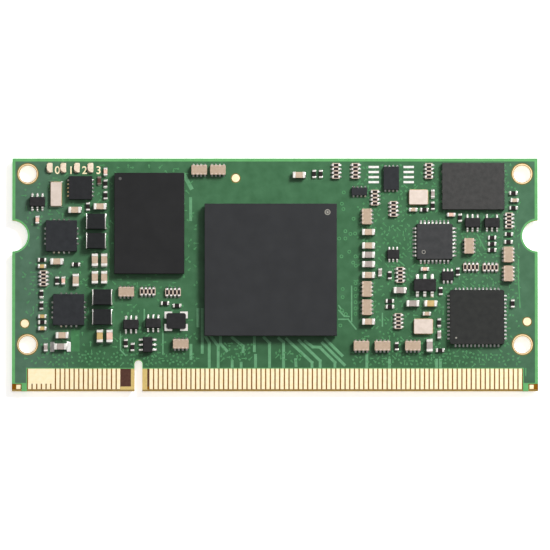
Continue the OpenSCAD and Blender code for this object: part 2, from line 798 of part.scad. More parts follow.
module flash_mould() {
    color([0.29, 0.28, 0.29])
        at_each([flash_spot])
            sawn_mould(flash_l, flash_w, flash_h, 0, flash_count, flash_pitch, flash_terminal_w);
}

module flash_leadframe() {
    color([0.85, 0.85, 0.83])
        at_each([flash_spot])
            leadframe(flash_l, flash_w, 0, flash_count, flash_pitch, flash_terminal_w);
}

module network_mould() {
    color([0.19, 0.18, 0.19])
        at_each([network_spot])
            difference() {
                rounded_plate(network_size, network_size, network_h, network_corner_r);
                leadframe(network_size, network_size, network_count, network_count,
                    network_pitch, terminal_w, cut);
            }
}

module network_leadframe() {
    color([0.85, 0.85, 0.83])
        at_each([network_spot])
            leadframe(network_size, network_size, network_count, network_count, network_pitch, terminal_w);
}

// Prism with two drafted sides, as long as its foot is wide
module drafted_prism(foot, h, draft) {
    rotate([90, 0, 0])
        linear_extrude(2 * foot, center = true)
            polygon([[-foot, 0], [foot, 0], [foot - draft, h], [draft - foot, h]]);
}

// Moulded singly: drafted sides that stand back from the terminals
module usb_mould() {
    foot = usb_size / 2 - usb_terminal_out;
    color([0.2, 0.19, 0.2])
        at_each([usb_spot])
            difference() {
                intersection() {
                    rounded_plate(2 * foot, 2 * foot, usb_h, usb_corner_r);
                    drafted_prism(foot, usb_h, usb_draft);
                    rotate([0, 0, 90])
                        drafted_prism(foot, usb_h, usb_draft);
                }
                leadframe(usb_size, usb_size, usb_count, usb_count, usb_pitch, terminal_w, cut);
            }
}

module usb_leadframe() {
    color([0.85, 0.85, 0.83])
        at_each([usb_spot])
            leadframe(usb_size, usb_size, usb_count, usb_count, usb_pitch, terminal_w);
}

module converter_moulds() {
    color([0.2, 0.2, 0.21])
        at_each(converter_spots)
            sawn_mould(converter_size, converter_size, converter_h,
                converter_count, converter_count, converter_pitch, terminal_w);
}

module converter_leadframes() {
    color([0.85, 0.85, 0.83])
        at_each(converter_spots)
            leadframe(converter_size, converter_size, converter_count, converter_count,
                converter_pitch, terminal_w);
}

module regulator_mould() {
    color([0.2, 0.2, 0.21])
        at_each([regulator_spot])
            sawn_mould(regulator_size, regulator_size, regulator_h,
                0, regulator_count, regulator_pitch, terminal_w);
}

module regulator_leadframe() {
    color([0.85, 0.85, 0.83])
        at_each([regulator_spot])
            leadframe(regulator_size, regulator_size, 0, regulator_count, regulator_pitch, terminal_w);
}

module eeprom_mould() {
    color([0.2, 0.2, 0.2])
        at_each([eeprom_spot])
            sawn_mould(eeprom_l, eeprom_w, eeprom_h, 0, small_count, small_pitch, terminal_w);
}

module eeprom_leadframe() {
    color([0.85, 0.85, 0.83])
        at_each([eeprom_spot])
            leadframe(eeprom_l, eeprom_w, 0, small_count, small_pitch, terminal_w);
}

// The level shifter is too narrow for a middle pad
module level_shifter_mould() {
    color([0.2, 0.2, 0.2])
        at_each([shifter_spot])
            difference() {
                block(shifter_l, shifter_w, shifter_h);
                round_package(shifter_l, shifter_w, small_count, 0, small_pitch)
                    flat_terminal(terminal_w, cut);
            }
}

module level_shifter_leadframe() {
    color([0.85, 0.85, 0.83])
        at_each([shifter_spot])
            round_package(shifter_l, shifter_w, small_count, 0, small_pitch)
                flat_terminal(terminal_w);
}

// Gull-wing packages

// Height of a lead's shoulder, at the parting line of its body
function shoulder(h) = gull_standoff + (h - gull_standoff - gull_t) / 2;

// Moulded body with drafted sides on both sides of its parting line
module gull_body(l, w, h) {
    low = shoulder(h);
    high = low + gull_t;
    intersection() {
        rotate([90, 0, 90])
            linear_extrude(l, center = true)
                polygon([
                    [gull_draft - w / 2, gull_standoff], [w / 2 - gull_draft, gull_standoff],
                    [w / 2, low], [w / 2, high], [w / 2 - gull_draft, h],
                    [gull_draft - w / 2, h], [-w / 2, high], [-w / 2, low]
                ]);
        rotate([90, 0, 0])
            linear_extrude(w, center = true)
                polygon([
                    [gull_draft - l / 2, gull_standoff], [l / 2 - gull_draft, gull_standoff],
                    [l / 2, low], [l / 2, high], [l / 2 - gull_draft, h],
                    [gull_draft - l / 2, h], [-l / 2, high], [-l / 2, low]
                ]);
    }
}

// Puts its children at the leads of both long sides, with +X pointing away from the body
module gull_rows(w, pitch, upper, lower) {
    for (i = upper)
        translate([i * pitch, w / 2, 0])
            rotate([0, 0, 90])
                children();
    for (i = lower)
        translate([i * pitch, -w / 2, 0])
            rotate([0, 0, -90])
                children();
}

// Lead bent from the body's parting line down to a foot on the board
module gull_lead(lead_w, h, reach) {
    top = shoulder(h);
    knee = reach * gull_knee;
    rotate([90, 0, 0])
        linear_extrude(lead_w, center = true)
            polygon([
                [0, top], [knee - gull_t / 2, top], [knee, 0], [reach, 0], [reach, gull_t],
                [knee + gull_t, gull_t], [knee + gull_t / 2, top + gull_t], [0, top + gull_t]
            ]);
}

module logic_bodies() {
    color([0.22, 0.21, 0.22])
        at_each(concat(logic_spots, [logic_five_spot]))
            gull_body(logic_l, logic_w, logic_h);
}

module logic_leads() {
    color([0.85, 0.85, 0.83]) {
        at_each(logic_spots)
            gull_rows(logic_w, logic_pitch, all_three, all_three)
                gull_lead(logic_lead_w, logic_h, logic_reach);
        at_each([logic_five_spot])
            gull_rows(logic_w, logic_pitch, outer_two, all_three)
                gull_lead(logic_lead_w, logic_h, logic_reach);
    }
}

module switch_bodies() {
    color([0.22, 0.21, 0.22])
        at_each(switch_spots)
            gull_body(switch_l, switch_w, switch_h);
}

module switch_leads() {
    color([0.85, 0.85, 0.83])
        at_each(switch_spots)
            gull_rows(switch_w, switch_pitch, all_three, all_three)
                gull_lead(switch_lead_w, switch_h, switch_reach);
}

module load_switch_body() {
    color([0.22, 0.21, 0.22])
        at_each([load_spot])
            gull_body(load_l, load_w, load_h);
}

module load_switch_leads() {
    color([0.85, 0.85, 0.83])
        at_each([load_spot])
            gull_rows(load_w, load_pitch, all_three, all_three)
                gull_lead(load_lead_w, load_h, load_reach);
}

// Two-terminal chips

// Body of a chip between its plated ends, which stand out from it by the plating
module chip_body(l, w, h, band) {
    translate([0, 0, cap_wall])
        block(l - 2 * band, w - 2 * cap_wall, h - 2 * cap_wall);
}

// The two plated ends of a chip
module chip_caps(l, w, h, band) {
    for (side = [-1, 1])
        translate([side * (l - band) / 2, 0, 0])
            block(band, w, h);
}

module inductor_cores() {
    color([0.15, 0.16, 0.17])
        at_each(inductor_spots)
            chip_body(inductor_l, inductor_w, inductor_h, inductor_band);
}

module inductor_terminals() {
    color([0.85, 0.85, 0.83])
        at_each(inductor_spots)
            chip_caps(inductor_l, inductor_w, inductor_h, inductor_band);
}

module large_capacitor_bodies() {
    color([0.84, 0.7, 0.6])
        at_each(concat(large_spots, [land_spot]))
            chip_body(large_l, large_w, large_h, large_band);
}

module large_capacitor_terminals() {
    color([0.9, 0.89, 0.87])
        at_each(concat(large_spots, [land_spot]))
            chip_caps(large_l, large_w, large_h, large_band);
}

module small_capacitor_bodies() {
    color([0.84, 0.7, 0.6])
        at_each(small_spots)
            chip_body(small_l, small_w, small_h, small_band);
}

module small_capacitor_terminals() {
    color([0.9, 0.89, 0.87])
        at_each(small_spots)
            chip_caps(small_l, small_w, small_h, small_band);
}

// Ceramic slip with its black glaze on top, between the end caps
module resistor_bodies() {
    color([0.13, 0.12, 0.12])
        at_each(resistor_spots) {
            chip_body(small_l, small_w, resistor_h, small_band);
            translate([0, 0, resistor_h - cap_wall - glaze_t])
                block(small_l - 2 * small_band, small_w - 2 * cap_wall, 2 * glaze_t);
        }
}

module resistor_terminals() {
    color([0.9, 0.89, 0.87])
        at_each(resistor_spots)
            chip_caps(small_l, small_w, resistor_h, small_band);
}

module diode_body() {
    color([0.25, 0.14, 0.12])
        at_each(diode_spots)
            chip_body(small_l, small_w, resistor_h, small_band);
}

module diode_terminals() {
    color([0.9, 0.89, 0.87])
        at_each(diode_spots)
            chip_caps(small_l, small_w, resistor_h, small_band);
}

// Chip arrays

// Puts its children at the terminals of both long sides of an array, with +X pointing out
module array_rows(w, count = array_count) {
    round_package(array_l, w, count, 0, array_pitch)
        children();
}

// Body of an array inside its terminals
module array_body(w, h) {
    translate([0, 0, cap_wall])
        block(array_l, w - 2 * cap_wall, h - 2 * cap_wall);
}

// Cutter for a round-ended slot between two terminals, open along +X
module array_slot(h) {
    linear_extrude(h) {
        translate([-array_slot_l, 0])
            circle(d = array_slot_w, $fn = 24);
        translate([-array_slot_l, -array_slot_w / 2])
            square([array_slot_l + cut, array_slot_w]);
    }
}

// Clips that wrap the long sides of an array
module array_terminals(w, h) {
    difference() {
        array_rows(w)
            translate([-array_band, -array_terminal_w / 2, 0])
                cube([array_band, array_terminal_w, h]);
        translate([0, 0, cap_wall])
            block(array_l + 2 * cut, w - 2 * cap_wall, h - 2 * cap_wall);
    }
}

// Ceramic slip with slots between its terminals and a patch of glaze over each of its resistors
module resistor_array_bodies() {
    patch_l = resistor_array_w - 2 * array_band - 2 * array_glaze_gap;
    color([0.7, 0.62, 0.55])
        at_each(resistor_array_spots) {
            difference() {
                array_body(resistor_array_w, resistor_array_h);
                translate([0, 0, -cut])
                    array_rows(resistor_array_w - 2 * cap_wall, array_count - 1)
                        array_slot(resistor_array_h + 2 * cut);
            }
            for (i = [0 : array_count - 1])
                translate([row_at(i, array_count, array_pitch), 0, resistor_array_h - cap_wall - glaze_t])
                    block(array_glaze_w, patch_l, 2 * glaze_t);
        }
}

module resistor_array_terminals() {
    color([0.9, 0.89, 0.87])
        at_each(resistor_array_spots)
            array_terminals(resistor_array_w, resistor_array_h);
}

module capacitor_array_bodies() {
    color([0.8, 0.7, 0.63])
        at_each(capacitor_array_spots)
            array_body(capacitor_array_w, capacitor_array_h);
}

module capacitor_array_terminals() {
    color([0.9, 0.89, 0.87])
        at_each(capacitor_array_spots)
            array_terminals(capacitor_array_w, capacitor_array_h);
}

// Crystals, oscillator and light-emitting diodes

// Ceramic base with a hollow in each corner
module ceramic_base(l, w, h) {
    difference() {
        block(l, w, h);
        for (sx = [-1, 1], sy = [-1, 1])
            translate([sx * l / 2, sy * w / 2, -cut])
                cylinder(r = crystal_corner_r, h = h + 2 * cut, $fn = 24);
    }
}

// Metal lid that leaves a rim of its base free
module lid(l, w) {
    rounded_plate(l - 2 * crystal_rim, w - 2 * crystal_rim, crystal_lid_h, crystal_lid_r);
}

module watch_crystal_base() {
    color([0.8, 0.7, 0.5])
        at_each([watch_spot])
            ceramic_base(watch_l, watch_w, crystal_base_h);
}

module watch_crystal_lid() {
    color([0.88, 0.85, 0.82])
        at_each([watch_spot], front_z + crystal_base_h)
            lid(watch_l, watch_w);
}

module crystal_bases() {
    color([0.8, 0.7, 0.5])
        at_each(crystal_spots)
            ceramic_base(crystal_l, crystal_w, crystal_base_h);
}

module crystal_lids() {
    color([0.88, 0.85, 0.82])
        at_each(crystal_spots, front_z + crystal_base_h)
            lid(crystal_l, crystal_w);
}

module oscillator_body() {
    color([0.16, 0.16, 0.17])
        at_each([oscillator_spot], front_z + film_t)
            ceramic_base(crystal_l, crystal_w, oscillator_h);
}

module oscillator_pads() {
    color([0.88, 0.88, 0.86])
        at_each([oscillator_spot])
            for (sx = [-1, 1], sy = [-1, 1])
                translate([
                    sx * (crystal_l / 2 + oscillator_pad_out - oscillator_pad[0] / 2),
                    sy * (crystal_w / 2 + oscillator_pad_out - oscillator_pad[1] / 2), 0
                ])
                    block(oscillator_pad[0], oscillator_pad[1], film_t);
}

module led_bases() {
    color([0.85, 0.82, 0.75])
        at_each(led_spots)
            ceramic_base(led_l, led_w, led_base_h);
}

// Lens with one straight side and one round side
module led_lenses() {
    round_r = (led_lens_l * led_lens_l / 4 + led_w * led_w) / (2 * led_w);
    color([0.95, 0.85, 0.78])
        at_each(led_spots, front_z + led_base_h)
            linear_extrude(led_lens_h)
                intersection() {
                    square([led_lens_l, led_w], center = true);
                    translate([0, led_w / 2 - round_r])
                        circle(round_r);
                }
}

// Solder

// Toes at the two ends of a chip
module chip_toes(l, w, reach = chip_toe) {
    for (turn = [0, 180])
        rotate([0, 0, turn])
            translate([l / 2, 0, 0])
                solder_toe(w, reach, chip_solder_h);
}

module chip_solder() {
    color([0.9, 0.9, 0.88]) {
        at_each(large_spots)
            chip_toes(large_l, large_w);
        at_each([land_spot])
            chip_toes(large_l, land_w, land_toe);
        at_each(concat(small_spots, resistor_spots, diode_spots))
            chip_toes(small_l, small_w);
        at_each(inductor_spots)
            for (side = [-1, 1])
                translate([0, side * inductor_solder_y, 0])
                    chip_toes(inductor_l, inductor_solder_w);
        at_each([watch_spot])
            chip_toes(watch_l, watch_solder_w);
        at_each(resistor_array_spots)
            array_rows(resistor_array_w)
                solder_toe(array_terminal_w, array_toe, chip_solder_h);
        at_each(capacitor_array_spots)
            array_rows(capacitor_array_w)
                solder_toe(array_terminal_w, array_toe, chip_solder_h);
    }
}

module package_solder() {
    color([0.9, 0.9, 0.88]) {
        at_each([flash_spot])
            round_package(flash_l, flash_w, 0, flash_count, flash_pitch)
                solder_toe(flash_terminal_w, flash_toe, terminal_t);
        at_each([network_spot])
            round_package(network_size, network_size, network_count, network_count, network_pitch)
                solder_toe(terminal_w, transceiver_toe, terminal_t);
        at_each([usb_spot])
            round_package(usb_size, usb_size, usb_count, usb_count, usb_pitch)
                solder_toe(terminal_w, transceiver_toe, terminal_t);
        at_each(converter_spots)
            round_package(converter_size, converter_size, converter_count, converter_count, converter_pitch)
                solder_toe(terminal_w, terminal_toe, terminal_t);
        at_each([regulator_spot])
            round_package(regulator_size, regulator_size, 0, regulator_count, regulator_pitch)
                solder_toe(terminal_w, terminal_toe, terminal_t);
        at_each([eeprom_spot])
            round_package(eeprom_l, eeprom_w, 0, small_count, small_pitch)
                solder_toe(terminal_w, terminal_toe, terminal_t);
        at_each([shifter_spot])
            round_package(shifter_l, shifter_w, small_count, 0, small_pitch)
                solder_toe(terminal_w, terminal_toe, terminal_t);
        at_each(logic_spots)
            gull_rows(logic_w + 2 * logic_reach, logic_pitch, all_three, all_three)
                solder_toe(logic_lead_w, chip_toe, gull_t);
        at_each([logic_five_spot])
            gull_rows(logic_w + 2 * logic_reach, logic_pitch, outer_two, all_three)
                solder_toe(logic_lead_w, chip_toe, gull_t);
        at_each(switch_spots)
            gull_rows(switch_w + 2 * switch_reach, switch_pitch, all_three, all_three)
                solder_toe(switch_lead_w, chip_toe, gull_t);
        at_each([load_spot])
            gull_rows(load_w + 2 * load_reach, load_pitch, all_three, all_three)
                solder_toe(load_lead_w, chip_toe, gull_t);
    }
}

// Capacitors on the back, hanging from the back mask in a grid under the processor and the memory

module at_back_grid(spot, grid, pitch_x, pitch_y) {
    translate([spot_x(spot), spot_y(spot), 0])
        for (i = [0 : grid[0] - 1], j = [0 : grid[1] - 1])
            translate([row_at(i, grid[0], pitch_x), row_at(j, grid[1], pitch_y), 0])
                children();
}

module at_back() {
    at_back_grid(processor_spot, processor_back_grid, processor_back_x, processor_back_y)
        children();
    at_back_grid(memory_spot, memory_back_grid, memory_back_x, memory_back_y)
        children();
}

module back_capacitor_bodies() {
    color([0.84, 0.7, 0.6])
        at_back()
            chip_body(small_l, small_w, small_h, small_band);
}

module back_capacitor_terminals() {
    color([0.9, 0.89, 0.87])
        at_back()
            chip_caps(small_l, small_w, small_h, small_band);
}

board();
solder_mask_front();
solder_mask_back();
edge_contacts_front();
edge_contacts_back();
mounting_hole_plating();
gold_pads();
spare_footprint_pads();
processor_substrate();
processor_mould();
processor_solder_balls();
memory_substrate();
memory_mould();
memory_solder_balls();
flash_mould();
flash_leadframe();
network_mould();
network_leadframe();
usb_mould();
usb_leadframe();
converter_moulds();
converter_leadframes();
regulator_mould();
regulator_leadframe();
eeprom_mould();
eeprom_leadframe();
level_shifter_mould();
level_shifter_leadframe();
logic_bodies();
logic_leads();
switch_bodies();
switch_leads();
load_switch_body();
load_switch_leads();
inductor_cores();
inductor_terminals();
watch_crystal_base();
watch_crystal_lid();
crystal_bases();
crystal_lids();
oscillator_body();
oscillator_pads();
led_bases();
led_lenses();
diode_body();
diode_terminals();
large_capacitor_bodies();
large_capacitor_terminals();
small_capacitor_bodies();
small_capacitor_terminals();
resistor_bodies();
resistor_terminals();
resistor_array_bodies();
resistor_array_terminals();
capacitor_array_bodies();
capacitor_array_terminals();
chip_solder();
package_solder();
back_capacitor_bodies();
back_capacitor_terminals();
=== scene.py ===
import math
import random

import bmesh
import bpy
from mathutils import Matrix, Vector


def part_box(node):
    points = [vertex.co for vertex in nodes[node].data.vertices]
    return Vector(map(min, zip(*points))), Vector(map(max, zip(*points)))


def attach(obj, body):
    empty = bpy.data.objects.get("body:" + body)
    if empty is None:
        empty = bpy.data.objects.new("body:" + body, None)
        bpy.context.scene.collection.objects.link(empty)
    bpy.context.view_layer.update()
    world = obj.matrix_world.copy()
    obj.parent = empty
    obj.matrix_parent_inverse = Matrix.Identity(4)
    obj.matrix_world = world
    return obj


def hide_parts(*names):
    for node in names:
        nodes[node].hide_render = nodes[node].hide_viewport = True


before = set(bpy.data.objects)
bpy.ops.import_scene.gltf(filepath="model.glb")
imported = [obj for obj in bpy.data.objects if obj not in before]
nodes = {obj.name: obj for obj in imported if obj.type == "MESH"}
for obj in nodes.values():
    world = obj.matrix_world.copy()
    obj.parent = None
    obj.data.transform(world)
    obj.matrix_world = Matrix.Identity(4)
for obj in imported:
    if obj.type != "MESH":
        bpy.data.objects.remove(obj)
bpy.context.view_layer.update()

# Laminate: the glass-fibre board that carries everything, pressed from woven layers and resin.
# It shows on the milled edges, between the gold contacts and in the bare lower corners. Its inner
# copper stops short of the key notch, so it is straw beside the notch and dark brown further off.
MM = 0.001
LAMINATE_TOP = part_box("board")[1].z / MM
CONTACT_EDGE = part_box("board")[0].y / MM
CONTACT_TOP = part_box("edge_contacts_front")[1].y / MM
DARK_PATCHES = [(-19.85, -18.5), (-16.4, -16.2)]
DARK_UP = 0.6
STRAW_PATCHES = [(-18.5, -18.05), (-17.05, -16.4)]
STRAW_UP = 0.2
STRAW_FOOT = (-19.85, -18.505)
PATCH_THICK = 0.014
PATCH_SINK = 0.003
GRAIN_SIZE = 0.12
GRAIN_DEPTH = 0.02
LAYER_SCALE = 950.0
LAYER_WANDER = 1.5
LAYER_DETAIL = 2.0
CUT_SHARPNESS = 6.0


def tone(red, green, blue):
    """Linear colour of a paint that reads as these 0 to 255 values on a screen."""
    parts = [c / 255 for c in (red, green, blue)]
    return tuple(c / 12.92 if c <= 0.04045 else ((c + 0.055) / 1.055) ** 2.4 for c in parts) + (1.0,)


def new_material(name, colour, roughness, metallic=0.0, gloss=0.5):
    """Material with its constants on the shader's own sockets, and the shader and tree to go on with."""
    made = bpy.data.materials.new(name)
    made.use_nodes = True
    made.diffuse_color = colour
    shader = made.node_tree.nodes["Principled BSDF"]
    shader.inputs["Base Color"].default_value = colour
    shader.inputs["Roughness"].default_value = roughness
    shader.inputs["Metallic"].default_value = metallic
    shader.inputs["Specular IOR Level"].default_value = gloss
    return made, made.node_tree, shader


def add_node(tree, kind, **settings):
    """Shader node of that kind with its settings, and inputs given as in_<socket number>."""
    made = tree.nodes.new("ShaderNode" + kind)
    for name, value in settings.items():
        if name.startswith("in_"):
            made.inputs[int(name[3:])].default_value = value
        else:
            setattr(made, name, value)
    return made


def noise(tree, size, detail=3.0):
    """Noise on the object's own coordinates, with patches about that many millimetres across."""
    place = add_node(tree, "TexCoord")
    made = add_node(tree, "TexNoise", in_2=1.0 / (size * MM), in_3=detail)
    tree.links.new(place.outputs["Object"], made.inputs["Vector"])
    return made.outputs["Fac"]


def blend_colours(tree, share, first, second, low=0.3, high=0.7):
    """Colour that runs from the first to the second as the share goes from low to high."""
    ramp = add_node(tree, "ValToRGB")
    ramp.color_ramp.elements[0].position = low
    ramp.color_ramp.elements[1].position = high
    ramp.color_ramp.elements[0].color = first
    ramp.color_ramp.elements[1].color = second
    tree.links.new(share, ramp.inputs["Fac"])
    return ramp.outputs["Color"]


def mix_colours(tree, share, first, second):
    """Two colours from other nodes, mixed by a share from another node."""
    mixed = add_node(tree, "Mix", data_type="RGBA")
    tree.links.new(share, mixed.inputs["Factor"])
    tree.links.new(first, mixed.inputs[6])
    tree.links.new(second, mixed.inputs[7])
    return mixed.outputs[2]


def mottled(name, colour, other, patch, roughness, metallic=0.0, gloss=0.5, grain=0.0):
    """Finish that wanders between two near colours in patches of that size, with a fine grain."""
    made, tree, shader = new_material(name, colour, roughness, metallic, gloss)
    tree.links.new(blend_colours(tree, noise(tree, patch), colour, other), shader.inputs["Base Color"])
    if grain:
        bump = add_node(tree, "Bump", in_0=grain, in_1=GRAIN_DEPTH * MM)
        tree.links.new(noise(tree, GRAIN_SIZE), bump.inputs["Height"])
        tree.links.new(bump.outputs["Normal"], shader.inputs["Normal"])
    return made


def laminate_finish():
    """Woven glass in resin: pale straw with dark layers on the cut edges, darker brown on the flat faces
    as painted shade.
    """
    made, tree, shader = new_material("woven_laminate", tone(150, 112, 70), roughness=0.55, gloss=0.0)
    # Painted shade: the flat faces, as between the gold contacts, are darker brown than the straw edges.
    flat = blend_colours(tree, noise(tree, size=0.4), tone(112, 68, 8), tone(132, 86, 18))
    place = add_node(tree, "TexCoord")
    layers = add_node(tree, "TexWave", bands_direction="Z",
                      in_1=LAYER_SCALE, in_2=LAYER_WANDER, in_3=LAYER_DETAIL)
    tree.links.new(place.outputs["Object"], layers.inputs["Vector"])
    cut = blend_colours(tree, layers.outputs["Fac"], tone(182, 154, 92), tone(212, 186, 120),
                        low=0.1, high=0.4)
    facing = add_node(tree, "NewGeometry")
    height = add_node(tree, "SeparateXYZ")
    tree.links.new(facing.outputs["Normal"], height.inputs[0])
    upright = add_node(tree, "Math", operation="ABSOLUTE")
    tree.links.new(height.outputs["Z"], upright.inputs[0])
    level = add_node(tree, "Math", operation="POWER", in_1=CUT_SHARPNESS)
    tree.links.new(upright.outputs[0], level.inputs[0])
    tree.links.new(mix_colours(tree, level.outputs[0], cut, flat), shader.inputs["Base Color"])
    return made


def dress(node, material):
    """Gives a CAD node its finish."""
    nodes[node].data.materials.clear()
    nodes[node].data.materials.append(material)


def place_piece(bm, name, materials, stands_for=()):
    """Finished piece in the row frame: rides on the board and stands for the CAD nodes named."""
    mesh = bpy.data.meshes.new(name)
    bm.to_mesh(mesh)
    bm.free()
    for material in materials:
        mesh.materials.append(material)
    piece = bpy.data.objects.new(name, mesh)
    bpy.context.scene.collection.objects.link(piece)
    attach(piece, "root")
    if stands_for:
        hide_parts(*stands_for)


def add_patch(bm, left, right, low, high):
    """Tinted rectangle on the laminate, in millimetres."""
    size = Matrix.Diagonal((right - left, high - low, PATCH_THICK, 1))
    place = Matrix.Translation(((left + right) / 2, (low + high) / 2, LAMINATE_TOP - PATCH_SINK))
    bmesh.ops.create_cube(bm, size=1, matrix=Matrix.Scale(MM, 4) @ place @ size)


dress("board", laminate_finish())
resin_brown = mottled("resin_brown", tone(66, 38, 28), tone(80, 50, 38),
                      patch=0.3, roughness=0.5, gloss=0.2)
dark_patches = bmesh.new()
for left, right in DARK_PATCHES:
    add_patch(dark_patches, left, right, CONTACT_EDGE + DARK_UP, CONTACT_TOP)
place_piece(dark_patches, "dark_laminate", [resin_brown])
resin_straw = mottled("resin_straw", tone(186, 160, 92), tone(200, 174, 104), patch=0.3, roughness=0.5)
straw_patches = bmesh.new()
for left, right in STRAW_PATCHES:
    add_patch(straw_patches, left, right, CONTACT_EDGE + STRAW_UP, CONTACT_TOP)
add_patch(straw_patches, *STRAW_FOOT, CONTACT_EDGE + STRAW_UP, CONTACT_EDGE + DARK_UP)
place_piece(straw_patches, "straw_laminate", [resin_straw])

# Solder mask: a film of green lacquer on both faces, open at the contacts, the holes and the marks.
# It is printed over the copper, so it looks brighter in the strip along the board's edges, where
# there is no copper under it. The copper stays clear of the notches, the holes and the marks.
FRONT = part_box("solder_mask_front")[1].z / MM
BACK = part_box("solder_mask_back")[0].z / MM
HALF_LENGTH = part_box("board")[1].x / MM
HALF_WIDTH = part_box("board")[1].y / MM
BARE_STRIP = 0.4
FOOT_STRIP = 0.1
LATCH_STRIP = 0.25
KEY_STRIP = 0.1
CORNER_FOOT = 1.05
CORNER_SIDE = 31.95
LATCH_Y = 5.0
LATCH_R = 2.0
KEY_NOTCH = (-17.55, -11.5)
KEY_NOTCH_R = 0.5
HOLES = [(-31.8, 13.0), (31.8, 13.0), (-31.8, -9.0), (31.8, -9.0)]
HOLE_CLEAR_R = 1.42
MARKS = [(-32.15, -6.3), (32.4, -6.05), (-5.05, 12.45)]
MARK_CLEAR_R = 0.65
COPPER_THICK = 0.016
COPPER_SINK = 0.005
DEEP_RUN = (-4.5, -9)
# Runs over which the short ends turn grey: a painted reflection of the mask's sheen there.
LEFT_RUN = (-24, -31)
RIGHT_RUN = (22, 31)
RIGHT_SHEEN = 0.5


def arc(x, y, radius, start, end, steps=24):
    """Points on a round stretch from one angle to another, in degrees."""
    turns = [math.radians(start + (end - start) * i / steps) for i in range(steps + 1)]
    return [(x + radius * math.cos(t), y + radius * math.sin(t)) for t in turns]


def full_circle(x, y, radius, points=24):
    """Points all round a circle, the first of them not repeated at the end."""
    return arc(x, y, radius, 0, 360 - 360 / points, points - 1)


def copper_rim():
    """Edge of the copper: the board's outline moved inwards and cut off above the contacts."""
    side, top, foot = HALF_LENGTH - BARE_STRIP, HALF_WIDTH - BARE_STRIP, CONTACT_TOP + FOOT_STRIP
    corner = CONTACT_EDGE + CORNER_FOOT
    latch_r, key_r = LATCH_R + LATCH_STRIP, KEY_NOTCH_R + KEY_STRIP
    latch_turn = math.degrees(math.acos(BARE_STRIP / latch_r))
    rim = [(-side, corner), (-CORNER_SIDE, corner), (-CORNER_SIDE, foot)]
    rim += [(KEY_NOTCH[0] - key_r, foot)]
    rim += arc(*KEY_NOTCH, key_r, 180, 0)
    rim += [(KEY_NOTCH[0] + key_r, foot)]
    rim += [(CORNER_SIDE, foot), (CORNER_SIDE, corner), (side, corner)]
    rim += arc(HALF_LENGTH, LATCH_Y, latch_r, 180 + latch_turn, 180 - latch_turn)
    rim += [(side, top), (-side, top)]
    rim += arc(-HALF_LENGTH, LATCH_Y, latch_r, latch_turn, -latch_turn)
    return rim


def fade(tree, position, axis, run, full=1.0):
    """Share that grows from nothing to its full value along a run of millimetres on one axis."""
    made = add_node(tree, "MapRange", in_1=run[0] * MM, in_2=run[1] * MM, in_4=full)
    tree.links.new(position.outputs[axis], made.inputs[0])
    return made.outputs[0]


def copper_finish():
    """Green over copper: deeper along the contacts, and greyer at the two short ends as a painted
    reflection.
    """
    made, tree, shader = new_material("mask_over_copper", tone(54, 98, 64), roughness=0.4, gloss=0.2)
    patches = noise(tree, size=1.3)
    green = blend_colours(tree, patches, tone(49, 92, 59), tone(60, 104, 70))
    deep = blend_colours(tree, patches, tone(42, 83, 51), tone(53, 95, 62))
    # Painted reflection: the grey that the short ends take on stands for the mask's sheen.
    grey = blend_colours(tree, patches, tone(64, 95, 74), tone(74, 106, 85))
    place = add_node(tree, "TexCoord")
    position = add_node(tree, "SeparateXYZ")
    tree.links.new(place.outputs["Object"], position.inputs[0])
    ends = add_node(tree, "Math", operation="ADD")
    tree.links.new(fade(tree, position, "X", LEFT_RUN), ends.inputs[0])
    tree.links.new(fade(tree, position, "X", RIGHT_RUN, RIGHT_SHEEN), ends.inputs[1])
    deepened = mix_colours(tree, fade(tree, position, "Y", DEEP_RUN), green, deep)
    tree.links.new(mix_colours(tree, ends.outputs[0], deepened, grey), shader.inputs["Base Color"])
    return made


def flat_mesh(curve, height):
    """Mesh of a flat curve or text drawn in millimetres, lifted to its height."""
    holder = bpy.data.objects.new(curve.name, curve)
    mesh = bpy.data.meshes.new_from_object(holder)
    bm = bmesh.new()
    bm.from_mesh(mesh)
    lift = Matrix.Translation((0, 0, height))
    bmesh.ops.transform(bm, matrix=Matrix.Scale(MM, 4) @ lift, verts=bm.verts)
    bpy.data.objects.remove(holder)
    bpy.data.meshes.remove(mesh)
    return bm


def cut_plate(name, loops, thickness, height):
    """Plate with its middle at that height, filled inside its loops and open where one lies in another."""
    curve = bpy.data.curves.new(name, "CURVE")
    curve.dimensions = "2D"
    curve.fill_mode = "BOTH"
    curve.extrude = thickness / 2
    for loop in loops:
        spline = curve.splines.new("POLY")
        spline.points.add(len(loop) - 1)
        for point, (x, y) in zip(spline.points, loop):
            point.co = (x, y, 0, 1)
        spline.use_cyclic_u = True
    return flat_mesh(curve, height)


copper_green = copper_finish()
bare_green = mottled("mask_over_laminate", tone(86, 152, 90), tone(96, 162, 100),
                     patch=0.7, roughness=0.4, gloss=0.2)
dress("solder_mask_front", bare_green)
dress("solder_mask_back", bare_green)
hole_loops = [full_circle(x, y, HOLE_CLEAR_R) for x, y in HOLES]
mark_loops = [full_circle(x, y, MARK_CLEAR_R) for x, y in MARKS]
front_copper = cut_plate("front_copper", [copper_rim()] + hole_loops + mark_loops,
                         COPPER_THICK, FRONT - COPPER_SINK)
place_piece(front_copper, "front_copper", [copper_green])
back_copper = cut_plate("back_copper", [copper_rim()] + hole_loops, COPPER_THICK, BACK + COPPER_SINK)
place_piece(back_copper, "back_copper", [copper_green])

